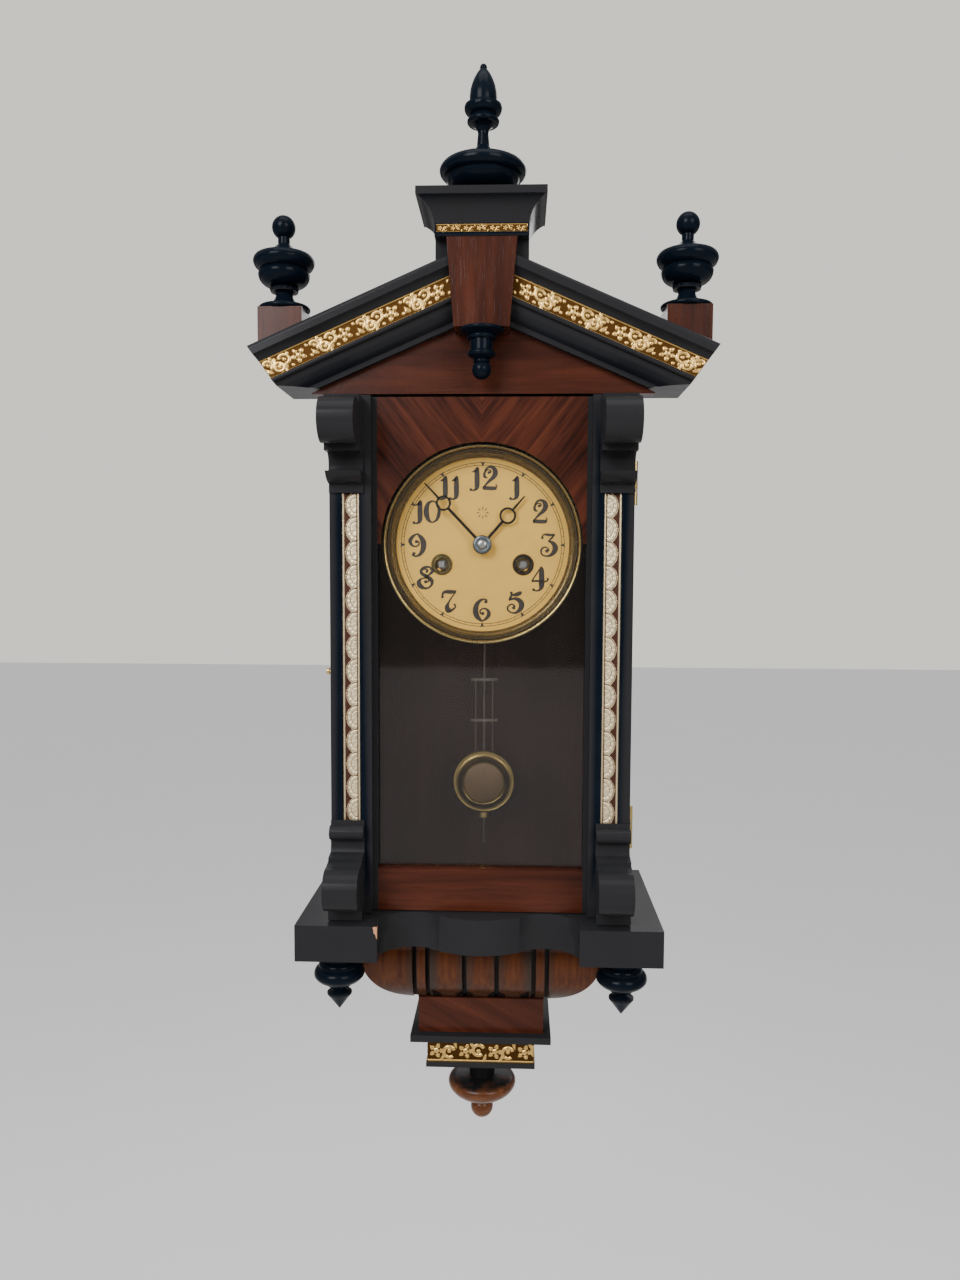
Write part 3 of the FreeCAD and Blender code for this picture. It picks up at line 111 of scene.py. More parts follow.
class Graph:
    """A material's node tree, with short calls to add and join its nodes."""

    def __init__(self, name: str) -> None:
        """Start an empty material.

        Args:
            name: the material's name.
        """
        self.material = bpy.data.materials.new(name)
        self.material.use_nodes = True
        self.tree = self.material.node_tree
        self.tree.nodes.clear()
        self.output = self.tree.nodes.new("ShaderNodeOutputMaterial")
        self.shader = self.tree.nodes.new("ShaderNodeBsdfPrincipled")
        self.tree.links.new(self.shader.outputs[0], self.output.inputs["Surface"])

    def add(self, kind: str, settings: dict | None = None, **inputs: object) -> bpy.types.Node:
        """Add a node.

        Args:
            kind: the node's type without its ShaderNode prefix.
            settings: properties to set on the node.
            inputs: sockets by name, underscores for spaces, each a value or another socket.

        Returns:
            The new node.
        """
        node = self.tree.nodes.new("ShaderNode" + kind)
        for name, value in (settings or {}).items():
            setattr(node, name, value)
        for name, value in inputs.items():
            self.feed(node.inputs[name.replace("_", " ")], value)
        return node

    def feed(self, socket: bpy.types.NodeSocket, value: object) -> None:
        """Join a socket to another, or set its value."""
        if isinstance(value, bpy.types.NodeSocket):
            self.tree.links.new(value, socket)
        elif isinstance(value, tuple) and len(value) == 3 and socket.type == "RGBA":
            socket.default_value = (*value, 1.0)
        else:
            socket.default_value = value

    def object_point(self, scale: tuple = (1, 1, 1), turn: tuple = (0, 0, 0),
                     start: tuple = (0, 0, 0)) -> object:
        """Object coordinates, scaled and turned.

        Args:
            scale: how many times the pattern repeats per metre along each axis.
            turn: rotation in radians.
            start: a shift in metres, applied before the scale.

        Returns:
            The vector socket.
        """
        place = self.add("TexCoord").outputs["Object"]
        shift = self.add("VectorMath", {"operation": "ADD"})
        self.feed(shift.inputs[0], place)
        shift.inputs[1].default_value = start
        spun = self.add("Mapping", Vector=shift.outputs[0], Rotation=turn)
        return self.add("Mapping", Vector=spun.outputs[0], Scale=scale).outputs[0]

    def noise(self, point: object, scale: float, detail: float = 4, rough: float = 0.55,
              twist: float = 0) -> object:
        """Noise at a point, as a 0 to 1 socket."""
        node = self.add("TexNoise", Vector=point, Scale=scale, Detail=detail, Roughness=rough,
                        Distortion=twist)
        return node.outputs["Fac"]

    def ramp(self, factor: object, stops: Sequence[tuple[float, Colour]]) -> object:
        """A colour ramp.

        Args:
            factor: the socket that drives the ramp.
            stops: positions with their colours.

        Returns:
            The colour socket.
        """
        node = self.add("ValToRGB", Fac=factor)
        marks = node.color_ramp.elements
        while len(marks) < len(stops):
            marks.new(0.5)
        for mark, (spot, colour) in zip(marks, stops):
            mark.position = spot
            mark.color = (*colour, 1.0)
        return node.outputs["Color"]

    def mix(self, factor: object, first: object, second: object, way: str = "MIX") -> object:
        """Two colours mixed by a factor."""
        node = self.add("Mix", {"data_type": "RGBA", "blend_type": way})
        self.feed(node.inputs[0], factor)
        self.feed(node.inputs[6], first)
        self.feed(node.inputs[7], second)
        return node.outputs[2]

    def span(self, value: object, low: float, high: float, start: float = 0.0, end: float = 1.0) -> object:
        """A value moved from one range to another."""
        node = self.add("MapRange", Value=value)
        for name, number in zip(("From Min", "From Max", "To Min", "To Max"), (start, end, low, high)):
            node.inputs[name].default_value = number
        return node.outputs[0]

    def maths(self, way: str, first: object, second: object = 0.0) -> object:
        """One sum on two values."""
        node = self.add("Math", {"operation": way})
        self.feed(node.inputs[0], first)
        self.feed(node.inputs[1], second)
        return node.outputs[0]

    def bump(self, height: object, depth: float, strength: float = 1.0) -> None:
        """Raise the surface by a height pattern, depth in metres."""
        node = self.add("Bump", Height=height, Strength=strength, Distance=depth)
        self.feed(self.shader.inputs["Normal"], node.outputs[0])

    def finish(self, **inputs: object) -> bpy.types.Material:
        """Set the shader's own sockets and hand back the material."""
        for name, value in inputs.items():
            self.feed(self.shader.inputs[name.replace("_", " ")], value)
        return self.material


class Grain(Enum):
    """Which way the grain of a board runs."""

    ACROSS = (0.0, math.pi / 2, 0.0)
    UPRIGHT = (0.0, 0.0, 0.0)
    DEEP = (math.pi / 2, 0.0, 0.0)
    SLANT = (0.0, math.radians(62), 0.0)


@dataclass(frozen=True)
class Walnut:
    """French-polished walnut: streaks, pores and a slow change of tone along the grain."""

    name: str
    grain: Grain = Grain.UPRIGHT
    dark: Colour = (0.019, 0.0056, 0.0034)
    middle: Colour = (0.044, 0.0112, 0.0056)
    light: Colour = (0.070, 0.0185, 0.0086)
    gloss: float = 0.26
    stretch: float = 14.0
    streaks: float = 210.0
    shine: float = 0.13

    def build(self) -> bpy.types.Material:
        """Make the material."""
        graph = Graph(self.name)
        turn = self.grain.value
        long = graph.object_point((self.stretch, self.stretch, 1), turn)
        wander = graph.noise(long, 3.0, 3, 0.5)
        fine = graph.noise(graph.object_point((1, 1, 1 / self.stretch), turn), self.streaks, 6, 0.62, 0.4)
        bands = graph.noise(graph.object_point((1, 1, 0.10), turn), 46, 3, 0.5, 1.2)
        tone = graph.maths("ADD", graph.maths("MULTIPLY", fine, 0.42), graph.maths("MULTIPLY", bands, 0.58))
        wood = graph.ramp(tone, [(0.30, self.dark), (0.50, self.middle), (0.68, self.light)])
        shade = graph.ramp(wander, [(0.3, (0.72, 0.68, 0.66)), (0.7, (1.12, 1.08, 1.05))])
        colour = graph.mix(0.8, wood, shade, "MULTIPLY")
        pores = graph.noise(graph.object_point((1, 1, 0.045), turn), 900, 2, 0.6)
        pits = graph.span(pores, 0.0, 1.0, 0.33, 0.42)
        colour = graph.mix(graph.span(pits, 0.35, 0.0), colour, self.dark)
        graph.bump(graph.maths("ADD", pits, graph.maths("MULTIPLY", fine, 0.6)), 0.00008, 0.35)
        smear = graph.noise(graph.object_point(), 24, 3)
        return graph.finish(Base_Color=colour, Roughness=graph.span(smear, self.gloss - 0.05,
                                                                    self.gloss + 0.08),
                            Coat_Weight=0.03, Coat_Roughness=0.1, Specular_IOR_Level=self.shine)


@dataclass(frozen=True)
class MatchedVeneer:
    """Quarter-matched veneer: two leaves whose stripes meet in a V on the middle line."""

    name: str
    lean: float = math.radians(38)
    dark: Colour = (0.012, 0.0040, 0.0028)
    middle: Colour = (0.039, 0.0102, 0.0056)
    light: Colour = (0.076, 0.0205, 0.0098)

    def build(self) -> bpy.types.Material:
        """Make the material."""
        graph = Graph(self.name)
        place = graph.add("SeparateXYZ", Vector=graph.add("TexCoord").outputs["Object"])
        side = graph.maths("ABSOLUTE", place.outputs[0])
        folded = graph.add("CombineXYZ", X=side, Y=place.outputs[1], Z=place.outputs[2])
        turned = graph.add("Mapping", Vector=folded.outputs[0], Rotation=(0, -self.lean, 0))
        stripes = graph.add("Mapping", Vector=turned.outputs[0], Scale=(1, 1, 0.06))
        wide = graph.noise(stripes.outputs[0], 170, 3, 0.6, 0.5)
        fine = graph.noise(stripes.outputs[0], 620, 5, 0.6, 0.2)
        tone = graph.maths("ADD", graph.maths("MULTIPLY", wide, 0.68), graph.maths("MULTIPLY", fine, 0.32))
        wood = graph.ramp(tone, [(0.34, self.dark), (0.47, self.middle), (0.66, self.light)])
        cloud = graph.noise(graph.object_point(), 22, 3)
        shade = graph.ramp(cloud, [(0.3, (0.68, 0.66, 0.66)), (0.7, (1.15, 1.1, 1.05))])
        graph.bump(fine, 0.00005, 0.3)
        return graph.finish(Base_Color=graph.mix(0.8, wood, shade, "MULTIPLY"), Roughness=0.27,
                            Coat_Weight=0.03, Coat_Roughness=0.1, Specular_IOR_Level=0.13)


@dataclass(frozen=True)
class Ebonised:
    """Black-stained, polished wood with a faint grain, dust clouds, dust on upward faces and a painted
    highlight on its convex edges.
    """

    name: str
    colour: Colour = (0.0024, 0.0046, 0.0085)
    dust: Colour = (0.0058, 0.0094, 0.0150)
    gloss: float = 0.19

    def build(self) -> bpy.types.Material:
        """Make the material."""
        graph = Graph(self.name)
        cloud = graph.noise(graph.object_point(), 38, 5, 0.6)
        specks = graph.noise(graph.object_point(), 420, 3, 0.7)
        film = graph.maths("MULTIPLY", graph.span(cloud, 0.0, 0.55, 0.42, 0.72),
                           graph.span(specks, 0.3, 1.0, 0.35, 0.65))
        grain = graph.noise(graph.object_point((1, 1, 0.05)), 420, 3, 0.6)
        geometry = graph.add("NewGeometry")
        upward = graph.add("SeparateXYZ", Vector=geometry.outputs["Normal"]).outputs[2]
        settled = graph.span(upward, 0.0, 0.55, 0.55, 1.0)
        # Pointiness picks out the convex edges for a painted highlight.
        edges = graph.span(geometry.outputs["Pointiness"], 0.0, 0.35, 0.535, 0.60)
        colour = graph.mix(film, self.colour, self.dust)
        colour = graph.mix(graph.maths("MULTIPLY", settled, 0.6), colour, self.dust)
        # Painted highlight: the convex edges turn a lighter grey.
        colour = graph.mix(edges, colour, (0.045, 0.040, 0.036))
        graph.bump(grain, 0.00005, 0.25)
        rough = graph.maths("ADD", graph.span(film, self.gloss, self.gloss + 0.14),
                            graph.maths("MULTIPLY", settled, 0.2))
        return graph.finish(Base_Color=colour, Roughness=rough, Coat_Weight=0.015, Coat_Roughness=0.08,
                            Specular_IOR_Level=0.045)


@dataclass(frozen=True)
class Metal:
    """Metal with a patina that gathers in its hollows and fine brushing or scratches."""

    name: str
    colour: Colour
    patina: Colour
    gloss: float = 0.3
    age: float = 0.5
    brushing: tuple[float, float, float] = (1, 1, 1)
    metallic: float = 1.0
    hollow: float = 0.5
    stamped: bool = False

    def build(self) -> bpy.types.Material:
        """Make the material."""
        graph = Graph(self.name)
        cloud = graph.noise(graph.object_point(), 60, 6, 0.65)
        stain = graph.noise(graph.object_point(), 14, 4, 0.6)
        spots = graph.noise(graph.object_point(), 520, 3, 0.6)
        lines = graph.noise(graph.object_point(self.brushing), 800, 2, 0.5)
        if self.stamped:
            raised = graph.add("Attribute", {"attribute_name": "raised"}).outputs["Fac"]
            sunk = graph.span(raised, self.hollow, 0.0, 0.03, 0.42)
        else:
            pointed = graph.add("NewGeometry").outputs["Pointiness"]
            sunk = graph.span(pointed, self.hollow, 0.0, 0.44, 0.505)
        worn = graph.maths("MULTIPLY", graph.span(cloud, 0.0, 1.0, 0.4, 0.75), self.age)
        worn = graph.maths("ADD", worn, graph.maths("MULTIPLY", graph.span(stain, 0, 1, 0.45, 0.7),
                                                    self.age * 0.5))
        worn = graph.maths("ADD", worn, graph.maths("MULTIPLY", graph.span(spots, 0, 1, 0.6, 0.75),
                                                    self.age * 0.6))
        share = graph.maths("MINIMUM", graph.maths("ADD", worn, sunk), 1.0)
        colour = graph.mix(share, self.colour, self.patina)
        rough = graph.span(graph.maths("ADD", share, graph.maths("MULTIPLY", lines, 0.25)), self.gloss,
                           self.gloss + 0.3)
        graph.bump(lines, 0.00003, 0.25)
        return graph.finish(Base_Color=colour, Metallic=self.metallic, Roughness=rough)


@dataclass(frozen=True)
class Plain:
    """A plain finish with a slight mottle, for ink, paint and the floor."""

    name: str
    colour: Colour
    gloss: float = 0.5
    mottle: float = 0.12
    grain: float = 60.0
    glow: float = 0.0

    def build(self) -> bpy.types.Material:
        """Make the material."""
        graph = Graph(self.name)
        cloud = graph.noise(graph.object_point(), self.grain, 4)
        low = tuple(channel * (1 - self.mottle) for channel in self.colour)
        high = tuple(min(1.0, channel * (1 + self.mottle)) for channel in self.colour)
        return graph.finish(Base_Color=graph.ramp(cloud, [(0.35, low), (0.65, high)]), Roughness=self.gloss,
                            Emission_Color=self.colour, Emission_Strength=self.glow)


@dataclass(frozen=True)
class Pane:
    """Old sheet glass: clear, faintly dusty, with a slow ripple in its reflection."""

    name: str
    tint: Colour = (0.95, 0.955, 0.94)

    def build(self) -> bpy.types.Material:
        """Make the material."""
        graph = Graph(self.name)
        ripple = graph.noise(graph.object_point((1, 1, 0.35)), 9, 2)
        smears = graph.noise(graph.object_point(), 18, 5, 0.7)
        bump = graph.add("Bump", Height=ripple, Strength=0.3, Distance=0.0006)
        gloss = graph.add("BsdfGlossy", Color=(1.0, 1.0, 1.0), Normal=bump.outputs[0],
                          Roughness=graph.span(smears, 0.015, 0.06))
        clear = graph.add("BsdfTransparent", Color=self.tint)
        dust = graph.add("BsdfDiffuse", Color=(0.30, 0.24, 0.22))
        facing = graph.add("Fresnel", IOR=1.34, Normal=bump.outputs[0]).outputs[0]
        sheen = graph.add("MixShader", Fac=facing)
        graph.feed(sheen.inputs[1], clear.outputs[0])
        graph.feed(sheen.inputs[2], gloss.outputs[0])
        hazed = graph.add("MixShader", Fac=graph.span(smears, 0.002, 0.018))
        graph.feed(hazed.inputs[1], sheen.outputs[0])
        graph.feed(hazed.inputs[2], dust.outputs[0])
        graph.tree.links.new(hazed.outputs[0], graph.output.inputs["Surface"])
        graph.tree.nodes.remove(graph.shader)
        return graph.material


@dataclass(frozen=True)
class Lobed:
    """Orange-brown polish with painted shade for the carved lobes: darker from the middle of each lobe to
    its edges, in a band above the foot, and black in the gaps between the lobe bottoms.
    """

    name: str
    lobe: float = 23.5
    lobes_end: float = 35.25
    fin_at: float = 43.2
    fin_half: float = 4.6
    foot: float = -0.4875
    # dark: the colour of the painted shade at the lobes' edges and above the foot.
    dark: Colour = (0.028, 0.0165, 0.0115)
    middle: Colour = (0.044, 0.0108, 0.0030)
    light: Colour = (0.078, 0.0220, 0.0052)
    # black: painted shade in the gaps between the rounded lobe bottoms.
    black: Colour = (0.0030, 0.0030, 0.0032)

    def build(self) -> bpy.types.Material:
        """Make the material."""
        graph = Graph(self.name)
        place = graph.add("SeparateXYZ", Vector=graph.add("TexCoord").outputs["Object"])
        side = graph.maths("MULTIPLY", graph.maths("ABSOLUTE", place.outputs[0]), 1 / MM)
        # lobe, fin and flank measure how far a point lies from the middle of a lobe, a fin or the end; they
        # drive the painted shade of the rounding.
        wave = graph.maths("MODULO", graph.maths("ADD", side, self.lobe / 2), self.lobe)
        lobe = graph.maths("DIVIDE", graph.maths("ABSOLUTE", graph.maths("SUBTRACT", wave, self.lobe / 2)),
                           self.lobe / 2)
        fin = graph.maths("DIVIDE", graph.maths("ABSOLUTE", graph.maths("SUBTRACT", side, self.fin_at)),
                          self.fin_half)
        flank = graph.span(side, 1.0, 0.15, self.fin_at + self.fin_half, self.fin_at + self.fin_half + 10)
        inner = graph.maths("LESS_THAN", side, self.lobes_end)
        outer = graph.maths("GREATER_THAN", side, self.fin_at + self.fin_half + 1.5)
        edge = graph.maths("ADD", graph.maths("MULTIPLY", lobe, inner),
                           graph.maths("MULTIPLY", flank, outer))
        between = graph.maths("SUBTRACT", graph.maths("SUBTRACT", 1.0, inner), outer)
        edge = graph.maths("ADD", edge, graph.maths("MULTIPLY", fin, between))
        # low: painted shade in a band above the foot, where the lobes round under.
        low = graph.span(place.outputs[2], 1.0, 0.0, self.foot, self.foot + 0.010)
        cloud = graph.noise(graph.object_point((1, 1, 0.4)), 70, 4, 0.6)
        edge = graph.maths("ADD", edge, graph.span(cloud, -0.16, 0.16, 0.3, 0.7))
        # shade: how much painted shade each point takes.
        shade = graph.maths("MAXIMUM", graph.span(edge, 0.0, 1.0, 0.35, 0.98),
                            graph.maths("MULTIPLY", low, 0.7))
        grain = graph.noise(graph.object_point((1, 1, 0.06)), 320, 5, 0.6)
        wood = graph.ramp(grain, [(0.35, self.middle), (0.62, self.light)])
        graph.bump(grain, 0.00004, 0.3)
        colour = graph.mix(shade, wood, self.dark)
        # painted_gap_shade: black painted where the rounded lobe bottoms part, where there is only shade.
        rounded = graph.maths("ADD", lobe, graph.maths("MULTIPLY", low, 1.36))
        painted_gap_shade = graph.maths("MULTIPLY", graph.span(rounded, 0.0, 1.0, 1.76, 1.86), inner)
        return graph.finish(Base_Color=graph.mix(painted_gap_shade, colour, self.black), Roughness=0.24,
                            Coat_Weight=0.04,
                            Coat_Roughness=0.1, Specular_IOR_Level=0.14)


@dataclass(frozen=True)
class HalfBlack:
    """A turning stained black above a level and polished orange-brown below it."""

    name: str
    level: float = -0.569
    upper: Colour = (0.0075, 0.0078, 0.0078)
    dark: Colour = (0.048, 0.0155, 0.0064)
    light: Colour = (0.125, 0.0440, 0.0160)

    def build(self) -> bpy.types.Material:
        """Make the material."""
        graph = Graph(self.name)
        height = graph.add("SeparateXYZ", Vector=graph.add("TexCoord").outputs["Object"]).outputs[2]
        ragged = graph.noise(graph.object_point(), 120, 4)
        line = graph.maths("ADD", height, graph.span(ragged, -0.0012, 0.0012, 0.3, 0.7))
        black = graph.span(line, 0.0, 1.0, self.level - 0.0016, self.level + 0.0016)
        grain = graph.noise(graph.object_point((0.25, 1, 1)), 260, 5, 0.6)
        wood = graph.ramp(grain, [(0.33, self.dark), (0.66, self.light)])
        return graph.finish(Base_Color=graph.mix(black, wood, self.upper),
                            Roughness=graph.span(black, 0.24, 0.36),
                            Coat_Weight=0.03, Coat_Roughness=0.1, Specular_IOR_Level=0.14)


@dataclass(frozen=True)
class RingedBrass:
    """Turned brass ring in bands painted across it: a painted highlight on its outer bead, painted shade in
    its grooves, paler inside, with patches of tarnish.
    """

    name: str
    height: float = -0.1596
    inner: float = 0.0610
    outer: float = 0.0696

    def build(self) -> bpy.types.Material:
        """Make the material."""
        graph = Graph(self.name)
        shift = graph.add("Mapping", Vector=graph.add("TexCoord").outputs["Object"],
                          Location=(0, 0, -self.height))
        flat = graph.add("Mapping", Vector=shift.outputs[0], Scale=(1, 0, 1))
        radius = graph.add("VectorMath", {"operation": "LENGTH"})
        graph.feed(radius.inputs[0], flat.outputs[0])
        across = graph.span(radius.outputs["Value"], 0.0, 1.0, self.inner, self.outer)
        # Bands across the ring's radius: a painted highlight on the outer bead and painted shade in the
        # grooves.
        bands = graph.ramp(across, [
            (0.0, (0.30, 0.22, 0.10)), (0.17, (0.42, 0.32, 0.15)), (0.20, (0.035, 0.028, 0.018)),
            (0.27, (0.20, 0.16, 0.085)), (0.44, (0.075, 0.062, 0.040)), (0.60, (0.11, 0.090, 0.050)),
            (0.66, (0.028, 0.022, 0.014)), (0.72, (0.36, 0.26, 0.10)), (0.92, (0.66, 0.50, 0.20)),
            (1.0, (0.30, 0.22, 0.09))])
        cloud = graph.noise(graph.object_point(), 75, 6, 0.7)
        tarnish = graph.span(cloud, 0.0, 0.4, 0.45, 0.72)
        colour = graph.mix(tarnish, bands, (0.07, 0.055, 0.028))
        return graph.finish(Base_Color=colour, Metallic=0.85, Roughness=graph.span(tarnish, 0.22, 0.45))


FINISHES = {
    "bezel": RingedBrass("ringed_brass"),
    "black": Ebonised("ebonised_black"),
    "walnut_across": Walnut("walnut_across", Grain.ACROSS),
    "walnut_upright": Walnut("walnut_upright", Grain.UPRIGHT),
    "walnut_slant": Walnut("walnut_slant", Grain.SLANT),
    "gadroon": Lobed("gadroon_walnut"),
    "half_black": HalfBlack("half_black_turning"),
    "inside": Walnut("case_lining", Grain.UPRIGHT, (0.015, 0.0060, 0.0050), (0.024, 0.0090, 0.0072),
                     (0.036, 0.0130, 0.0100), 0.4, shine=0.08),
    "veneer": MatchedVeneer("matched_veneer"),
    "gilt": Metal("stamped_gilt", (0.66, 0.42, 0.135), (0.060, 0.027, 0.007), 0.26, 0.24, hollow=1.0,
                  stamped=True),
    "pale_gilt": Metal("pale_leaf_gilt", (0.66, 0.54, 0.34), (0.050, 0.017, 0.009), 0.34, 0.10,
                       metallic=0.7,
                       hollow=1.0, stamped=True),
    "brass": Metal("aged_brass", (0.60, 0.44, 0.18), (0.14, 0.095, 0.035), 0.24, 0.5),
    "dial": Metal("dial_brass", (0.82, 0.49, 0.088), (0.54, 0.30, 0.052), 0.40, 0.30, (1, 1, 14), 0.22,
                  0.0),
    "steel": Metal("bright_steel", (0.46, 0.46, 0.47), (0.12, 0.10, 0.09), 0.25, 0.3),
    "blued": Metal("blued_steel", (0.022, 0.022, 0.026), (0.012, 0.011, 0.011), 0.32, 0.3),
    "nut": Metal("oiled_steel", (0.17, 0.20, 0.23), (0.035, 0.035, 0.035), 0.28, 0.55),
    "dark_brass": Metal("tarnished_brass", (0.22, 0.17, 0.075), (0.05, 0.037, 0.018), 0.38, 0.6),
    "bob_face": Metal("coppered_face", (0.105, 0.060, 0.028), (0.050, 0.028, 0.014), 0.42, 0.5,
                      metallic=0.4,
                      hollow=0.0),
    "bob_dish": Metal("bob_brass", (0.30, 0.21, 0.075), (0.022, 0.017, 0.010), 0.24, 0.3),
    "dark_steel": Metal("dull_steel", (0.16, 0.14, 0.125), (0.05, 0.04, 0.035), 0.34, 0.4),
    "black_brass": Metal("blackened_brass", (0.055, 0.045, 0.035), (0.016, 0.014, 0.012), 0.4, 0.5),
    "ink": Plain("dial_ink", (0.022, 0.014, 0.012), 0.45),
    "faded_ink": Plain("faded_ink", (0.20, 0.13, 0.07), 0.5),
    "bare": Plain("bare_wood_chip", (0.44, 0.20, 0.10), 0.7),
    "glass": Pane("sheet_glass"),
    "floor": Plain("pale_floor", (0.62, 0.61, 0.60), 0.9, 0.01, 3.0, 0.5),
}


class Workshop:
    """Keeps one copy of each finish and dresses pieces with it."""

    def __init__(self) -> None:
        """Start with no finish made."""
        self.made: dict[str, bpy.types.Material] = {}

    def finish(self, name: str) -> bpy.types.Material:
        """The material of a finish, made once."""
        if name not in self.made:
            self.made[name] = FINISHES[name].build()
        return self.made[name]

    def dress(self, piece: bpy.types.Object, name: str) -> None:
        """Give a whole piece one finish."""
        piece.data.materials.clear()
        piece.data.materials.append(self.finish(name))

    def dress_nodes(self, frame: dict, names: Iterable[str], finish: str) -> None:
        """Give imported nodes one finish."""
        for name in names:
            self.dress(frame["nodes"][name], finish)


# ---------------------------------------------------------------- shaping


def smooth_curve(points: Sequence[tuple[float, ...]], steps: int = 8) -> list[tuple[float, ...]]:
    """A curve through points, with any number of values at each.

    Args:
        points: the points it passes through, in order.
        steps: samples between two points.

    Returns:
        The sampled points.
    """
    padded = [points[0], *points, points[-1]]
    result = []
    for index in range(1, len(padded) - 2):
        before, here, there, after = padded[index - 1:index + 3]
        for step in range(steps):
            t = step / steps
            result.append(tuple(
                0.5 * (2 * b + (c - a) * t + (2 * a - 5 * b + 4 * c - d) * t * t
                       + (3 * b - a - 3 * c + d) * t ** 3)
                for a, b, c, d in zip(before, here, there, after)))
    result.append(tuple(points[-1]))
    return result


def to_object(name: str, build: bmesh.types.BMesh, smooth: bool = True) -> bpy.types.Object:
    """Turn a bmesh into an object at the origin.

    Args:
        name: the piece's name.
        build: the mesh, which is freed.
        smooth: whether its faces are shaded smooth.

    Returns:
        The new object.
    """
    bmesh.ops.remove_doubles(build, verts=build.verts, dist=1e-7)
    bmesh.ops.recalc_face_normals(build, faces=build.faces)
    mesh = bpy.data.meshes.new(name)
    build.to_mesh(mesh)
    build.free()
    for face in mesh.polygons:
        face.use_smooth = smooth
    piece = bpy.data.objects.new(name, mesh)
    bpy.context.collection.objects.link(piece)
    return piece


def sharpen(piece: bpy.types.Object, degrees: float = 38) -> bpy.types.Object:
    """Mark the edges past an angle sharp, so that smooth shading keeps its arrises."""
    build = bmesh.new()
    build.from_mesh(piece.data)
    for edge in build.edges:
        edge.smooth = not (edge.is_manifold and edge.calc_face_angle(0) > math.radians(degrees))
    build.to_mesh(piece.data)
    build.free()
    return piece


def grid_shell(rows: Sequence[Sequence[Vector]], closed: bool = False) -> bmesh.types.BMesh:
    """A sheet of quads through rows of points.

    Args:
        rows: points, each row as long as the next.
        closed: whether the last row joins the first.

    Returns:
        The open bmesh.
    """
    build = bmesh.new()
    made = [[build.verts.new(point) for point in row] for row in rows]
    if closed:
        made.append(made[0])
    for row, following in zip(made, made[1:]):
        for left in range(len(row) - 1):
            corners = (row[left], row[left + 1], following[left + 1], following[left])
            build.faces.new(corners)
    return build


def lathe(name: str, profile: Sequence[Point2], foot: Vector, axis: Vector,
          turns: int = 96) -> bpy.types.Object:
    """A turned piece.

    Args:
        name: the piece's name.
        profile: radius and height pairs in metres, the ends on the axis where it is solid.
        foot: where height 0 is.
        axis: the way height grows.
        turns: facets round the axis.

    Returns:
        The piece.
    """
    spin = axis.normalized().to_track_quat("Z", "Y").to_matrix()
    rows = []
    for index in range(turns):
        angle = 2 * math.pi * index / turns
        rows.append([foot + spin @ Vector((radius * math.cos(angle), radius * math.sin(angle), height))
                     for radius, height in profile])
    build = grid_shell(rows, True)
    bmesh.ops.remove_doubles(build, verts=build.verts, dist=1e-7)
    bmesh.ops.dissolve_degenerate(build, dist=1e-7, edges=build.edges)
    return sharpen(to_object(name, build))


def slab(name: str, outline: Sequence[Point2], place: Callable[[float, float, float], Vector],
         thick: float) -> bpy.types.Object:
    """A flat shape with thickness.

    Args:
        name: the piece's name.
        outline: the shape's corners.
        place: turns across, up and out into a point.
        thick: how far it stands out, in metres.

    Returns:
        The piece.
    """
    build = bmesh.new()
    low = [build.verts.new(place(x, z, 0)) for x, z in outline]
    high = [build.verts.new(place(x, z, thick)) for x, z in outline]
    build.faces.new(low)
    build.faces.new(high)
    for index, _ in enumerate(outline):
        following = (index + 1) % len(outline)
        build.faces.new((low[index], low[following], high[following], high[index]))
    bmesh.ops.triangulate(build, faces=[face for face in build.faces if len(face.verts) > 4])
    return to_object(name, build, False)


def joined(name: str, pieces: Sequence[bpy.types.Object]) -> bpy.types.Object:
    """Join pieces into one, keeping each one's shading and finish slots."""
    first = pieces[0]
    build = bmesh.new()
    for piece in pieces:
        build.from_mesh(piece.data)
    mesh = bpy.data.meshes.new(name)
    build.to_mesh(mesh)
    build.free()
    for piece in pieces[1:]:
        bpy.data.objects.remove(piece)
    first.data = mesh
    first.name = name
    return first


def mirrored(piece: bpy.types.Object) -> bpy.types.Object:
    """The same piece with its copy across the middle plane joined to it."""
    build = bmesh.new()
    build.from_mesh(piece.data)
    copy = bmesh.ops.duplicate(build, geom=build.verts[:] + build.edges[:] + build.faces[:])["geom"]
    verts = [item for item in copy if isinstance(item, bmesh.types.BMVert)]
    faces = [item for item in copy if isinstance(item, bmesh.types.BMFace)]
    bmesh.ops.scale(build, vec=(-1, 1, 1), verts=verts)
    bmesh.ops.reverse_faces(build, faces=faces)
    build.to_mesh(piece.data)
    build.free()
    return piece


def facing(x: float, z: float, out: float) -> Vector:
    """A point on a sheet that faces forward, in millimetres, raised by metres towards the front."""
    return mm(x, -out, z)


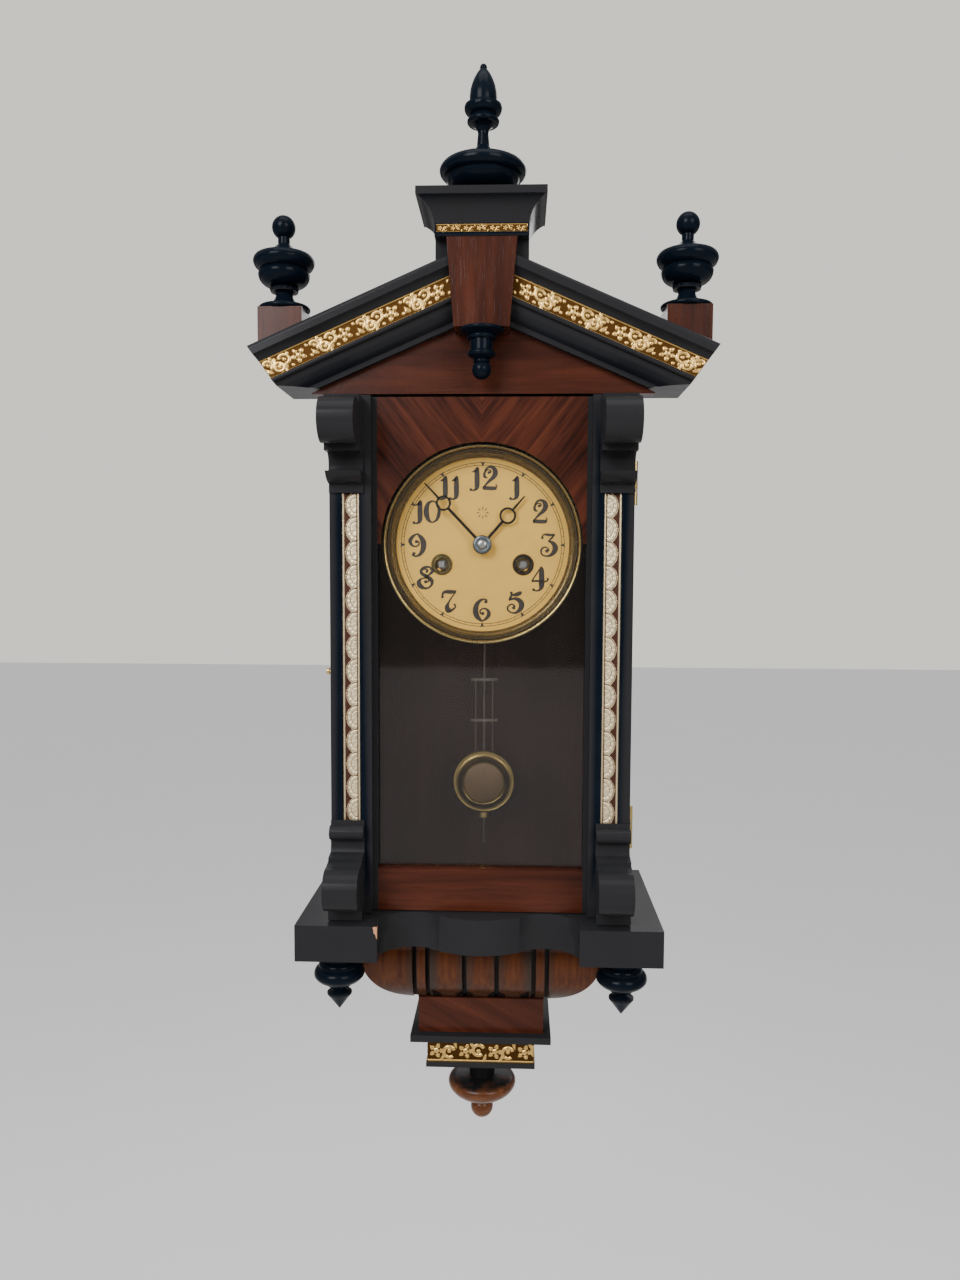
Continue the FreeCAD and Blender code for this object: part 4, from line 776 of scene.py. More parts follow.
def relief(name: str, length: float, width: float, base: float, rise: float, pitch: float,
           height: Callable[[float, float], float], place: Callable[[float, float, float], Vector]
           ) -> bpy.types.Object:
    """A stamped strip: a slab whose face follows a height pattern.

    Args:
        name: the piece's name.
        length: along the strip, in metres.
        width: across it, in metres.
        base: the slab's thickness.
        rise: how far the highest relief stands over it.
        pitch: the size of one face of the mesh.
        height: pattern from a point in millimetres to 0 to 1.
        place: turns along, across and out into a point.

    Returns:
        The piece.
    """
    along = max(2, round(length / pitch))
    across = max(2, round(width / pitch))
    build = bmesh.new()
    raised = build.verts.layers.float.new("raised")

    def point(u: float, v: float, out: float, mark: float) -> bmesh.types.BMVert:
        """One point of the sheet, with how far it is raised."""
        vert = build.verts.new(place(u, v, out))
        vert[raised] = mark
        return vert

    rows = []
    for i in range(along + 1):
        u = length * i / along
        row = [point(u, 0, 0, 0)]
        for j in range(across + 1):
            v = width * j / across
            mark = height(u / MM, v / MM)
            row.append(point(u, v, base + rise * mark, mark))
        row.append(point(u, width, 0, 0))
        rows.append(row)
    for row, following in zip(rows, rows[1:]):
        for j in range(len(row) - 1):
            build.faces.new((row[j], row[j + 1], following[j + 1], following[j]))
    build.faces.new(rows[0])
    build.faces.new(rows[-1])
    build.faces.new([row[0] for row in rows] + [row[-1] for row in reversed(rows)])
    return sharpen(to_object(name, build), 60)


# ---------------------------------------------------------------- repeats


class Repeat:
    """A node tree that sets copies of one shape at points, as one piece."""

    def __init__(self, name: str) -> None:
        """Start a tree.

        Args:
            name: the tree's name.
        """
        self.tree = bpy.data.node_groups.new(name, "GeometryNodeTree")
        self.tree.interface.new_socket("Geometry", in_out="INPUT", socket_type="NodeSocketGeometry")
        self.tree.interface.new_socket("Geometry", in_out="OUTPUT", socket_type="NodeSocketGeometry")
        self.start = self.tree.nodes.new("NodeGroupInput")
        self.end = self.tree.nodes.new("NodeGroupOutput")
        self.values: dict[str, object] = {}

    def size(self, name: str, kind: str, value: object) -> bpy.types.NodeSocket:
        """Add a named input and hand back its socket."""
        self.tree.interface.new_socket(name, in_out="INPUT", socket_type="NodeSocket" + kind)
        self.values[name] = value
        return self.start.outputs[name]

    def add(self, kind: str, settings: dict | None = None, **inputs: object) -> bpy.types.Node:
        """Add a node, with its inputs set or joined."""
        node = self.tree.nodes.new(kind)
        for name, value in (settings or {}).items():
            setattr(node, name, value)
        for name, value in inputs.items():
            socket = node.inputs[name.replace("_", " ")]
            if isinstance(value, bpy.types.NodeSocket):
                self.tree.links.new(value, socket)
            else:
                socket.default_value = value
        return node

    def close(self, copies: object) -> None:
        """End the tree with realised copies in the given finish."""
        finish = self.size("Finish", "Material", None)
        real = self.add("GeometryNodeRealizeInstances", Geometry=copies)
        dressed = self.add("GeometryNodeSetMaterial", Geometry=real.outputs[0], Material=finish)
        self.tree.links.new(dressed.outputs[0], self.end.inputs[0])

    def make(self, name: str, finish: bpy.types.Material) -> bpy.types.Object:
        """Run the tree and keep its result as a plain mesh.

        Args:
            name: the piece's name.
            finish: the copies' material.

        Returns:
            The piece.
        """
        self.values["Finish"] = finish
        holder = bpy.data.objects.new(name, bpy.data.meshes.new(name + "_seed"))
        bpy.context.collection.objects.link(holder)
        modifier = holder.modifiers.new("copies", "NODES")
        modifier.node_group = self.tree
        for item in self.tree.interface.items_tree:
            if item.in_out == "INPUT" and item.name in self.values:
                modifier[item.identifier] = self.values[item.name]
        graph = bpy.context.evaluated_depsgraph_get()
        graph.update()
        mesh = bpy.data.meshes.new_from_object(holder.evaluated_get(graph))
        holder.modifiers.clear()
        holder.data = mesh
        return holder


def ring_of(name: str, shape: bpy.types.Object, count: int, radius: float, centre: Vector,
            finish: bpy.types.Material) -> bpy.types.Object:
    """Copies of a shape round a dial, each turned to point outwards.

    Args:
        name: the piece's name.
        shape: the shape, standing at twelve o'clock about the origin; it is removed.
        count: how many copies.
        radius: how far from the centre they sit.
        centre: the dial's centre.
        finish: the copies' material.

    Returns:
        The copies, as one piece.
    """
    repeat = Repeat(name + "_ring")
    number = repeat.size("Count", "Int", count)
    reach = repeat.size("Radius", "Float", radius)
    source = repeat.size("Shape", "Object", shape)
    middle = repeat.size("Centre", "Vector", centre)
    points = repeat.add("GeometryNodePoints", Count=number)
    index = repeat.add("GeometryNodeInputIndex").outputs[0]
    part = repeat.add("ShaderNodeMath", {"operation": "DIVIDE"})
    repeat.tree.links.new(index, part.inputs[0])
    repeat.tree.links.new(number, part.inputs[1])
    angle = repeat.add("ShaderNodeMath", {"operation": "MULTIPLY"})
    repeat.tree.links.new(part.outputs[0], angle.inputs[0])
    angle.inputs[1].default_value = 2 * math.pi
    turn = repeat.add("ShaderNodeCombineXYZ", Y=angle.outputs[0])
    shape_in = repeat.add("GeometryNodeObjectInfo", Object=source)
    copies = repeat.add("GeometryNodeInstanceOnPoints", Points=points.outputs[0],
                        Instance=shape_in.outputs["Geometry"], Rotation=turn.outputs[0])
    lift = repeat.add("ShaderNodeCombineXYZ", Z=reach)
    out = repeat.add("GeometryNodeTranslateInstances", Instances=copies.outputs[0],
                     Translation=lift.outputs[0])
    placed = repeat.add("GeometryNodeTranslateInstances", {}, Instances=out.outputs[0], Translation=middle)
    placed.inputs["Local Space"].default_value = False
    repeat.close(placed.outputs[0])
    piece = repeat.make(name, finish)
    bpy.data.objects.remove(shape)
    return piece


def set_at(name: str, shape: bpy.types.Object, places: Sequence[Vector], turn: tuple[float, float, float],
           finish: bpy.types.Material) -> bpy.types.Object:
    """Copies of a shape at given places, all turned the same way.

    Args:
        name: the piece's name.
        shape: the shape, at the origin; it is removed.
        places: where the copies go.
        turn: their rotation.
        finish: the copies' material.

    Returns:
        The copies, as one piece.
    """
    marks = bpy.data.objects.new(name + "_marks", bpy.data.meshes.new(name + "_marks"))
    marks.data.from_pydata([tuple(place) for place in places], [], [])
    bpy.context.collection.objects.link(marks)
    repeat = Repeat(name + "_set")
    spots = repeat.size("Places", "Object", marks)
    source = repeat.size("Shape", "Object", shape)
    angle = repeat.size("Turn", "Vector", turn)
    spots_in = repeat.add("GeometryNodeObjectInfo", Object=spots)
    points = repeat.add("GeometryNodeMeshToPoints", Mesh=spots_in.outputs["Geometry"])
    shape_in = repeat.add("GeometryNodeObjectInfo", Object=source)
    copies = repeat.add("GeometryNodeInstanceOnPoints", Points=points.outputs[0],
                        Instance=shape_in.outputs["Geometry"], Rotation=angle)
    repeat.close(copies.outputs[0])
    piece = repeat.make(name, finish)
    bpy.data.objects.remove(shape)
    bpy.data.objects.remove(marks)
    return piece


# ---------------------------------------------------------------- the clock's pieces


@dataclass
class Assembly:
    """What every group of pieces shares: the finishes."""

    shop: Workshop

    def fit(self, piece: bpy.types.Object, body: str, slot: str, *replaced: str) -> bpy.types.Object:
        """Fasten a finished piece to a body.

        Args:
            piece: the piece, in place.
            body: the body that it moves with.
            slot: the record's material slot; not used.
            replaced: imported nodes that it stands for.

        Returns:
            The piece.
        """
        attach(piece, body)
        if replaced:
            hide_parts(*replaced)
        log.info("%s on %s, %d faces", piece.name, body, len(piece.data.polygons))
        return piece

    def dressed(self, piece: bpy.types.Object, finish: str, body: str, slot: str,
                *replaced: str) -> bpy.types.Object:
        """Give a piece its finish and fasten it to a body."""
        self.shop.dress(piece, finish)
        return self.fit(piece, body, slot, *replaced)


@dataclass
class Studio:
    """The pale floor, the soft lights and the camera."""

    shop: Workshop
    floor_drop: float = 1.0
    floor_half: float = 14.0
    eye: tuple[float, float, float] = (0.02438, -0.763, -0.180)
    pitch: float = math.radians(-3.938)
    turn: float = math.radians(2.174)
    roll: float = math.radians(-0.247)
    lens: float = 27.03
    wall_tone: Colour = (0.97, 0.955, 0.885)
    room_light: float = 0.75

    def camera(self) -> None:
        """Stand the camera in front of the clock, level with its dial."""
        data = bpy.data.cameras.new("view")
        data.lens = self.lens
        data.sensor_width = 36
        data.sensor_fit = "AUTO"
        data.clip_start = 0.01
        data.clip_end = 100
        camera = bpy.data.objects.new("view", data)
        aim = Matrix.Rotation(self.turn, 3, "Z") @ Matrix.Rotation(self.pitch, 3, "X")
        aim = aim @ Matrix.Rotation(self.roll, 3, "Y") @ Matrix.Rotation(math.pi / 2, 3, "X")
        camera.matrix_world = Matrix.Translation(self.eye) @ aim.to_4x4()
        bpy.context.collection.objects.link(camera)
        bpy.context.scene.camera = camera

    def floor(self, low: float) -> None:
        """Lay the floor under the clock.

        Args:
            low: the clock's lowest point.
        """
        half = self.floor_half
        corners = [(-half, -half), (half, -half), (half, half), (-half, half)]
        mesh = bpy.data.meshes.new("floor")
        mesh.from_pydata([(x, y, low - self.floor_drop) for x, y in corners], [], [(0, 1, 2, 3)])
        floor = bpy.data.objects.new("floor", mesh)
        bpy.context.collection.objects.link(floor)
        self.shop.dress(floor, "floor")
        floor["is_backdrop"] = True

    def light(self, name: str, place: Vector, aim: Vector, size: Point2, power: float,
              colour: Colour = (1, 1, 1)) -> None:
        """Hang one soft rectangular light.

        Args:
            name: the light's name.
            place: where it is.
            aim: the point it faces.
            size: its width and height.
            power: watts.
            colour: its tint.
        """
        data = bpy.data.lights.new(name, "AREA")
        data.shape = "RECTANGLE"
        data.size, data.size_y = size
        data.energy = power
        data.color = colour
        lamp = bpy.data.objects.new(name, data)
        lamp.matrix_world = Matrix.Translation(place) @ (aim - place).to_track_quat("-Z",
                                                                                    "Y").to_matrix().to_4x4()
        bpy.context.collection.objects.link(lamp)

    def surroundings(self) -> None:
        """A pale backdrop to look at, and a dimmer room, brighter overhead, for the clock to reflect."""
        world = bpy.data.worlds.new("studio")
        world.use_nodes = True
        tree = world.node_tree
        seen = tree.nodes["Background"]
        seen.inputs[0].default_value = (*self.wall_tone, 1)
        seen.inputs[1].default_value = 1.0
        room = tree.nodes.new("ShaderNodeBackground")
        room.inputs[1].default_value = self.room_light
        heading = tree.nodes.new("ShaderNodeSeparateXYZ")
        tree.links.new(tree.nodes.new("ShaderNodeTexCoord").outputs["Generated"], heading.inputs[0])
        ramp = tree.nodes.new("ShaderNodeValToRGB")
        ramp.color_ramp.elements[0].position, ramp.color_ramp.elements[1].position = 0.0, 0.9
        ramp.color_ramp.elements[0].color = (0.20, 0.19, 0.18, 1)
        ramp.color_ramp.elements[1].color = (0.95, 0.96, 1.0, 1)
        tree.links.new(heading.outputs[2], ramp.inputs[0])
        tree.links.new(ramp.outputs[0], room.inputs[0])
        choice = tree.nodes.new("ShaderNodeMixShader")
        tree.links.new(tree.nodes.new("ShaderNodeLightPath").outputs["Is Camera Ray"], choice.inputs[0])
        tree.links.new(room.outputs[0], choice.inputs[1])
        tree.links.new(seen.outputs[0], choice.inputs[2])
        tree.links.new(choice.outputs[0], tree.nodes["World Output"].inputs[0])
        bpy.context.scene.world = world

    def build(self, low: float) -> None:
        """Set up the whole studio.

        Args:
            low: the clock's lowest point.
        """
        self.camera()
        self.floor(low)
        middle = mm(0, -60, -200)
        self.light("window", Vector((-1.1, -2.0, 0.85)), middle, (1.1, 1.3), 70, (0.97, 0.98, 1.0))
        self.light("fill", Vector((1.25, -2.0, 0.6)), middle, (1.1, 1.2), 34, (1.0, 0.98, 0.95))
        self.light("overhead", Vector((0.0, -0.5, 1.7)), middle, (1.6, 1.0), 14)
        self.light("back", Vector((0.3, 1.8, 0.8)), middle, (1.8, 1.2), 14)
        self.surroundings()
        log.info("studio: camera, floor and four lights")


DRESSED = {
    "black": ("top_board", "raking_cornice_right", "raking_cornice_left", "crown_cap", "crown_finial",
              "corner_finials", "keystone_drop", "base_plinth", "base_drops", "apron_ledge",
              "apron_bottom_plate", "door_stiles", "pilasters", "upper_consoles", "lower_consoles",
              "door_top_rail",
              "side_panels"),
    "walnut_across": ("tympanum", "gable_soffit", "door_bottom_rail"),
    "walnut_upright": ("keystone", "corner_blocks"),
    "walnut_slant": ("apron_block",),
    "gadroon": ("gadroon_apron",),
    "half_black": ("bottom_drop",),
    "inside": ("back_board", "movement_rails", "gong_block"),
    "veneer": ("door_spandrel",),
    "gilt": ("raking_gilt_strips", "crown_gilt_strip", "apron_gilt_band"),
    "pale_gilt": ("pilaster_gilt_strips",),
    "brass": ("dial_bezel", "movement_back_plate", "movement_front_plate", "plate_pillars",
              "suspension_cock",
              "hinge_case_leaves", "hinge_door_leaves", "latch_hook", "latch_stud", "rating_nut"),
    "dial": ("dial",),
    "dark_brass": ("pendulum_bob", "winding_grommets"),
    "steel": ("going_barrel", "strike_barrel", "hanger_plate", "latch_screw", "centre_arbor",
              "suspension_spring",
              "strike_hammer"),
    "dark_steel": ("anchor_and_crutch", "pendulum_rod"),
    "blued": ("gong_coil", "minute_hand", "hour_hand"),
    "nut": ("hand_nut",),
    "glass": ("door_glass",),
}


# ---------------------------------------------------------------- dial


Stroke = list[tuple[float, float, float]]
STROKES: dict[str, list[Stroke]] = {
    "0": [[(2, 100, 5), (-15, 90, 10), (-23, 68, 15), (-24, 42, 17), (-17, 15, 12), (-3, 0, 5)],
          [(2, 100, 4), (16, 88, 6), (25, 64, 9), (24, 36, 11), (15, 12, 8), (-3, 0, 4)]],
    "1": [[(6, 103, 1), (5, 96, 10), (4, 70, 15), (4, 40, 16), (4, 18, 15), (1, 4, 11), (-9, -3, 6),
           (-19, -3, 4)],
          [(3, 96, 4), (-4, 84, 9), (-15, 80, 2)]],
    "2": [[(-4, 74, 5), (4, 79, 4), (2, 88, 4), (-9, 89, 4), (-20, 76, 6), (-19, 58, 8), (-8, 54, 3)],
          [(-20, 78, 4), (-12, 96, 6), (2, 103, 8), (16, 96, 13), (22, 78, 16), (16, 58, 14), (-2, 38, 9),
           (-18, 18, 5), (-26, 8, 4)],
          [(-27, 8, 12), (-10, 7, 14), (14, 6, 14), (26, 8, 12)], [(26, 6, 3), (28, 16, 3), (23, 24, 4)]],
    "3": [[(-24, 84, 4), (-20, 97, 4), (-8, 98, 9), (8, 96, 9), (25, 99, 5)],
          [(24, 99, 4), (12, 82, 6), (-1, 66, 4)],
          [(-1, 66, 3), (14, 62, 11), (25, 46, 16), (25, 26, 17), (12, 6, 11), (-8, 0, 6), (-25, 8, 5),
           (-28, 26, 6), (-18, 40, 5), (-4, 37, 4), (1, 26, 4), (-7, 20, 5)]],
    "4": [[(7, 104, 2), (8, 90, 14), (9, 60, 17), (9, 20, 17), (5, 0, 10), (-8, -8, 5), (-22, -6, 4)],
          [(6, 100, 3), (-14, 64, 4), (-29, 36, 4)],
          [(-30, 35, 5), (-12, 37, 7), (10, 34, 6), (28, 36, 5), (34, 44, 4)]],
    "5": [[(-16, 92, 4), (-10, 84, 7), (4, 84, 14), (18, 92, 14), (20, 100, 6)],
          [(-12, 86, 6), (-20, 66, 7), (-22, 56, 4)],
          [(-22, 57, 3), (-6, 66, 9), (14, 60, 15), (25, 42, 17), (22, 20, 15), (6, 2, 9), (-12, 1, 5),
           (-27, 12, 5), (-28, 28, 5), (-14, 40, 5), (-2, 33, 4), (-4, 21, 5)]],
    "6": [[(14, 92, 6), (18, 98, 4), (8, 103, 6), (-8, 97, 10), (-22, 76, 15), (-26, 46, 18), (-18, 20, 16),
           (0, 0, 5)],
          [(-1, 1, 3), (16, 14, 10), (26, 34, 12), (20, 54, 8), (4, 60, 5), (-8, 50, 5), (-6, 36, 4),
           (4, 34, 5)]],
    "7": [[(-29, 72, 4), (-25, 90, 8), (-12, 96, 13), (6, 95, 14), (26, 98, 8)],
          [(25, 97, 4), (8, 70, 4), (-4, 46, 6), (-10, 26, 14), (-4, 8, 18), (2, 0, 3)],
          [(0, 2, 5), (12, 14, 7), (23, 26, 4), (20, 36, 4)]],
    "8": [[(22, 92, 5), (12, 99, 7), (-6, 97, 8), (-18, 84, 8), (-14, 68, 11), (6, 54, 14), (22, 38, 13),
           (24, 20, 8),
           (12, 4, 6), (-6, 0, 10)],
          [(-6, 0, 10), (-22, 12, 16), (-27, 30, 13), (-18, 44, 6), (-2, 48, 4), (10, 44, 4), (10, 32, 4),
           (0, 28, 5)],
          [(-4, 52, 4), (12, 62, 5), (26, 78, 10), (24, 90, 5)],
          [(-14, 84, 4), (-2, 90, 5), (8, 84, 4), (4, 76, 4)]],
    "9": [[(-12, 8, 6), (-18, 3, 4), (-6, -3, 6), (10, 4, 10), (22, 24, 15), (26, 54, 18), (18, 80, 15),
           (0, 102, 5)],
          [(1, 101, 3), (-16, 88, 10), (-27, 68, 12), (-20, 48, 8), (-4, 42, 5), (8, 52, 5), (6, 64, 4),
           (-4, 67, 5)]],
}
BALLS: dict[str, list[tuple[float, float, float]]] = {
    "0": [], "1": [(-20, 0, 6)], "2": [(-3, 77, 6)], "3": [(-24, 84, 6), (-6, 23, 7)],
    "4": [(-22, -3, 6), (33, 46, 5)],
    "5": [(-15, 92, 6), (-5, 24, 7)], "6": [(14, 91, 7), (2, 37, 7)], "7": [(-28, 72, 6), (20, 36, 5)],
    "8": [(0, 31, 7), (4, 78, 6), (22, 90, 6)], "9": [(-12, 9, 7), (-2, 64, 7)],
}


@dataclass
class Dial(Assembly):
    """The printed dial: numerals, minute track, marks and a flower, with its bezel and grommets."""

    centre: Vector = field(default_factory=lambda: mm(0, -80.8, -159.6))
    numeral_circle: float = 46.5
    numeral_height: float = 15.4
    numeral_spread: float = 1.18
    numeral_gap: float = 9.6
    outer_track: float = 57.6
    inner_track: float = 55.8
    track_line: float = 0.44
    pen: float = 1.2
    ink_height: float = 0.05
    winding: tuple[float, float] = (28.8, -13.8)
    star_rise: float = 22.6

    def point(self, x: float, z: float, out: float) -> Vector:
        """A point on the dial from its centre, in millimetres."""
        return self.centre + mm(x, 0, z) - Vector((0, out, 0))

    def stroke(self, build: bmesh.types.BMesh, points: Stroke, left: float, low: float,
               scale: float) -> None:
        """Lay one pen stroke of changing width as a thin raised ribbon.

        Args:
            build: the mesh it is added to.
            points: across, up and width in hundredths of the numeral's height.
            left: the numeral's middle on the dial.
            low: the numeral's foot on the dial.
            scale: millimetres to a hundredth.
        """
        curve = smooth_curve(points, 7)
        rows = []
        for index, (x, z, wide) in enumerate(curve):
            after = curve[min(index + 1, len(curve) - 1)]
            before = curve[max(index - 1, 0)]
            along = Vector((after[0] - before[0], after[1] - before[1])).normalized()
            side = Vector((-along.y, along.x)) * (wide * self.pen + 1.4) / 2
            ends = ((x - side.x, z - side.y), (x + side.x, z + side.y))
            low_side, high_side = [(left + a * scale * self.numeral_spread, low + b * scale) for a,
                                   b in ends]
            rows.append([build.verts.new(self.point(*spot, out)) for spot, out in (
                (low_side, 0), (low_side, self.ink_height * MM), (high_side, self.ink_height * MM),
                (high_side, 0))])
        for row, following in zip(rows, rows[1:]):
            for i in range(4):
                j = (i + 1) % 4
                build.faces.new((row[i], row[j], following[j], following[i]))
        build.faces.new(rows[0])
        build.faces.new(rows[-1])

    def disc(self, build: bmesh.types.BMesh, x: float, z: float, radius: float, sides: int = 20) -> None:
        """Lay a small round of ink."""
        rim = [(x + radius * math.cos(2 * math.pi * i / sides),
                z + radius * math.sin(2 * math.pi * i / sides))
               for i in range(sides)]
        low = [build.verts.new(self.point(a, b, 0)) for a, b in rim]
        high = [build.verts.new(self.point(a, b, self.ink_height * MM * 1.1)) for a, b in rim]
        build.faces.new(low)
        build.faces.new(high)
        for i in range(sides):
            j = (i + 1) % sides
            build.faces.new((low[i], low[j], high[j], high[i]))

    def numerals(self) -> bpy.types.Object:
        """Write the hours from 1 to 12, upright."""
        build = bmesh.new()
        scale = self.numeral_height / 100
        for hour in range(1, 13):
            angle = math.radians(30 * hour)
            middle_x = self.numeral_circle * math.sin(angle)
            foot = self.numeral_circle * math.cos(angle) - self.numeral_height / 2
            digits = str(hour)
            gap = self.numeral_gap * (0.82 if hour == 11 else 1.0)
            for index, digit in enumerate(digits):
                left = middle_x + (index - (len(digits) - 1) / 2) * gap
                for points in STROKES[digit]:
                    self.stroke(build, points, left, foot, scale)
                for x, z, radius in BALLS[digit]:
                    self.disc(build, left + x * scale * self.numeral_spread, foot + z * scale,
                              radius * scale * 1.15)
        return to_object("dial_numerals", build, False)

    def ring(self, name: str, radius: float, width: float) -> bpy.types.Object:
        """One line of the minute track."""
        half = width / 2 * MM
        out = self.ink_height * MM
        section = [(radius * MM - half, 0), (radius * MM - half, out), (radius * MM + half, out),
                   (radius * MM + half, 0), (radius * MM - half, 0)]
        return lathe(name, section, self.centre, Vector((0, -1, 0)), 180)

    def marks(self) -> list[bpy.types.Object]:
        """The minute ticks and the five-minute arrowheads, set round the dial."""
        ink = self.shop.finish("ink")

        half = (self.outer_track - self.inner_track) / 2
        middle = (self.outer_track + self.inner_track) / 2 * MM
        tick = slab("minute_tick", [(-0.14, -half), (0.14, -half), (0.14, half), (-0.14, half)], facing,
                    self.ink_height)
        arrow = slab("hour_mark", [(0, -2.3), (1.5, 1.7), (0, 1.1), (-1.5, 1.7)], facing,
                     self.ink_height * 1.3)
        return [ring_of("dial_minute_ticks", tick, 60, middle, self.centre, ink),
                ring_of("dial_hour_marks", arrow, 12, middle, self.centre, ink)]

    def flower(self) -> bpy.types.Object:
        """A small eight-petalled ornament above the centre."""

        petal = slab("petal", [(0, -1.5), (0.6, 0.2), (0, 1.5), (-0.6, 0.2)], facing, self.ink_height)
        middle = self.centre + mm(0, 0, self.star_rise)
        return ring_of("dial_flower", petal, 8, 3.2 * MM, middle, self.shop.finish("faded_ink"))

    def bezel(self) -> None:
        """Turn the bezel, with a bead outside and grooves inside."""
        profile = [(61, 0), (69.6, 0), (69.6, 9.6), (69.3, 10.5), (68.7, 10.95), (68.3, 11), (67.7, 10.8),
                   (67.2, 10.3),
                   (67.0, 9.6), (66.6, 9.0), (66.3, 9.3), (65.7, 9.2), (65.2, 8.5), (64.6, 8.4),
                   (64.0, 7.6), (63.6, 6.4),
                   (63.2, 6.3), (62.6, 4.4), (62.4, 3.0), (61.8, 2.6), (61.0, 1.6), (61, 0)]
        piece = lathe("dial_bezel_ring", [(r * MM, h * MM) for r, h in profile], self.centre,
                      Vector((0, -1, 0)), 192)
        self.dressed(piece, "bezel", "case", "brass", "dial_bezel")

    def build(self) -> None:
        """Print the dial and set its fittings."""
        self.bezel()
        numerals = self.numerals()
        self.dressed(numerals, "ink", "case", "blued_steel")
        for name, radius in (("dial_track_outer", self.outer_track),
                             ("dial_track_inner", self.inner_track)):
            self.dressed(self.ring(name, radius, self.track_line), "ink", "case", "blued_steel")
        for piece in self.marks():
            self.fit(piece, "case", "blued_steel")
        self.fit(self.flower(), "case", "blued_steel")
        self.grommets()

    def grommets(self) -> None:
        """Turn the two dished collars round the winding squares, one of them blackened."""
        profile = [(4.7, 0), (4.7, 0.5), (5.0, 1.0), (5.5, 0.8), (6.1, 1.2), (6.6, 1.5), (7.1, 1.3),
                   (7.5, 0.7), (7.5, 0),
                   (4.7, 0)]
        section = [(radius * MM, height * MM) for radius, height in profile]
        across, rise = self.winding
        for name, side, finish in (("left_grommet", -1, "dark_brass"), ("right_grommet", 1, "black_brass")):
            foot = self.centre + mm(side * across, 0, rise)
            piece = lathe(name, section, foot, Vector((0, -1, 0)), 64)
            self.dressed(piece, finish, "case", "brass", *(("winding_grommets",) if side > 0 else ()))


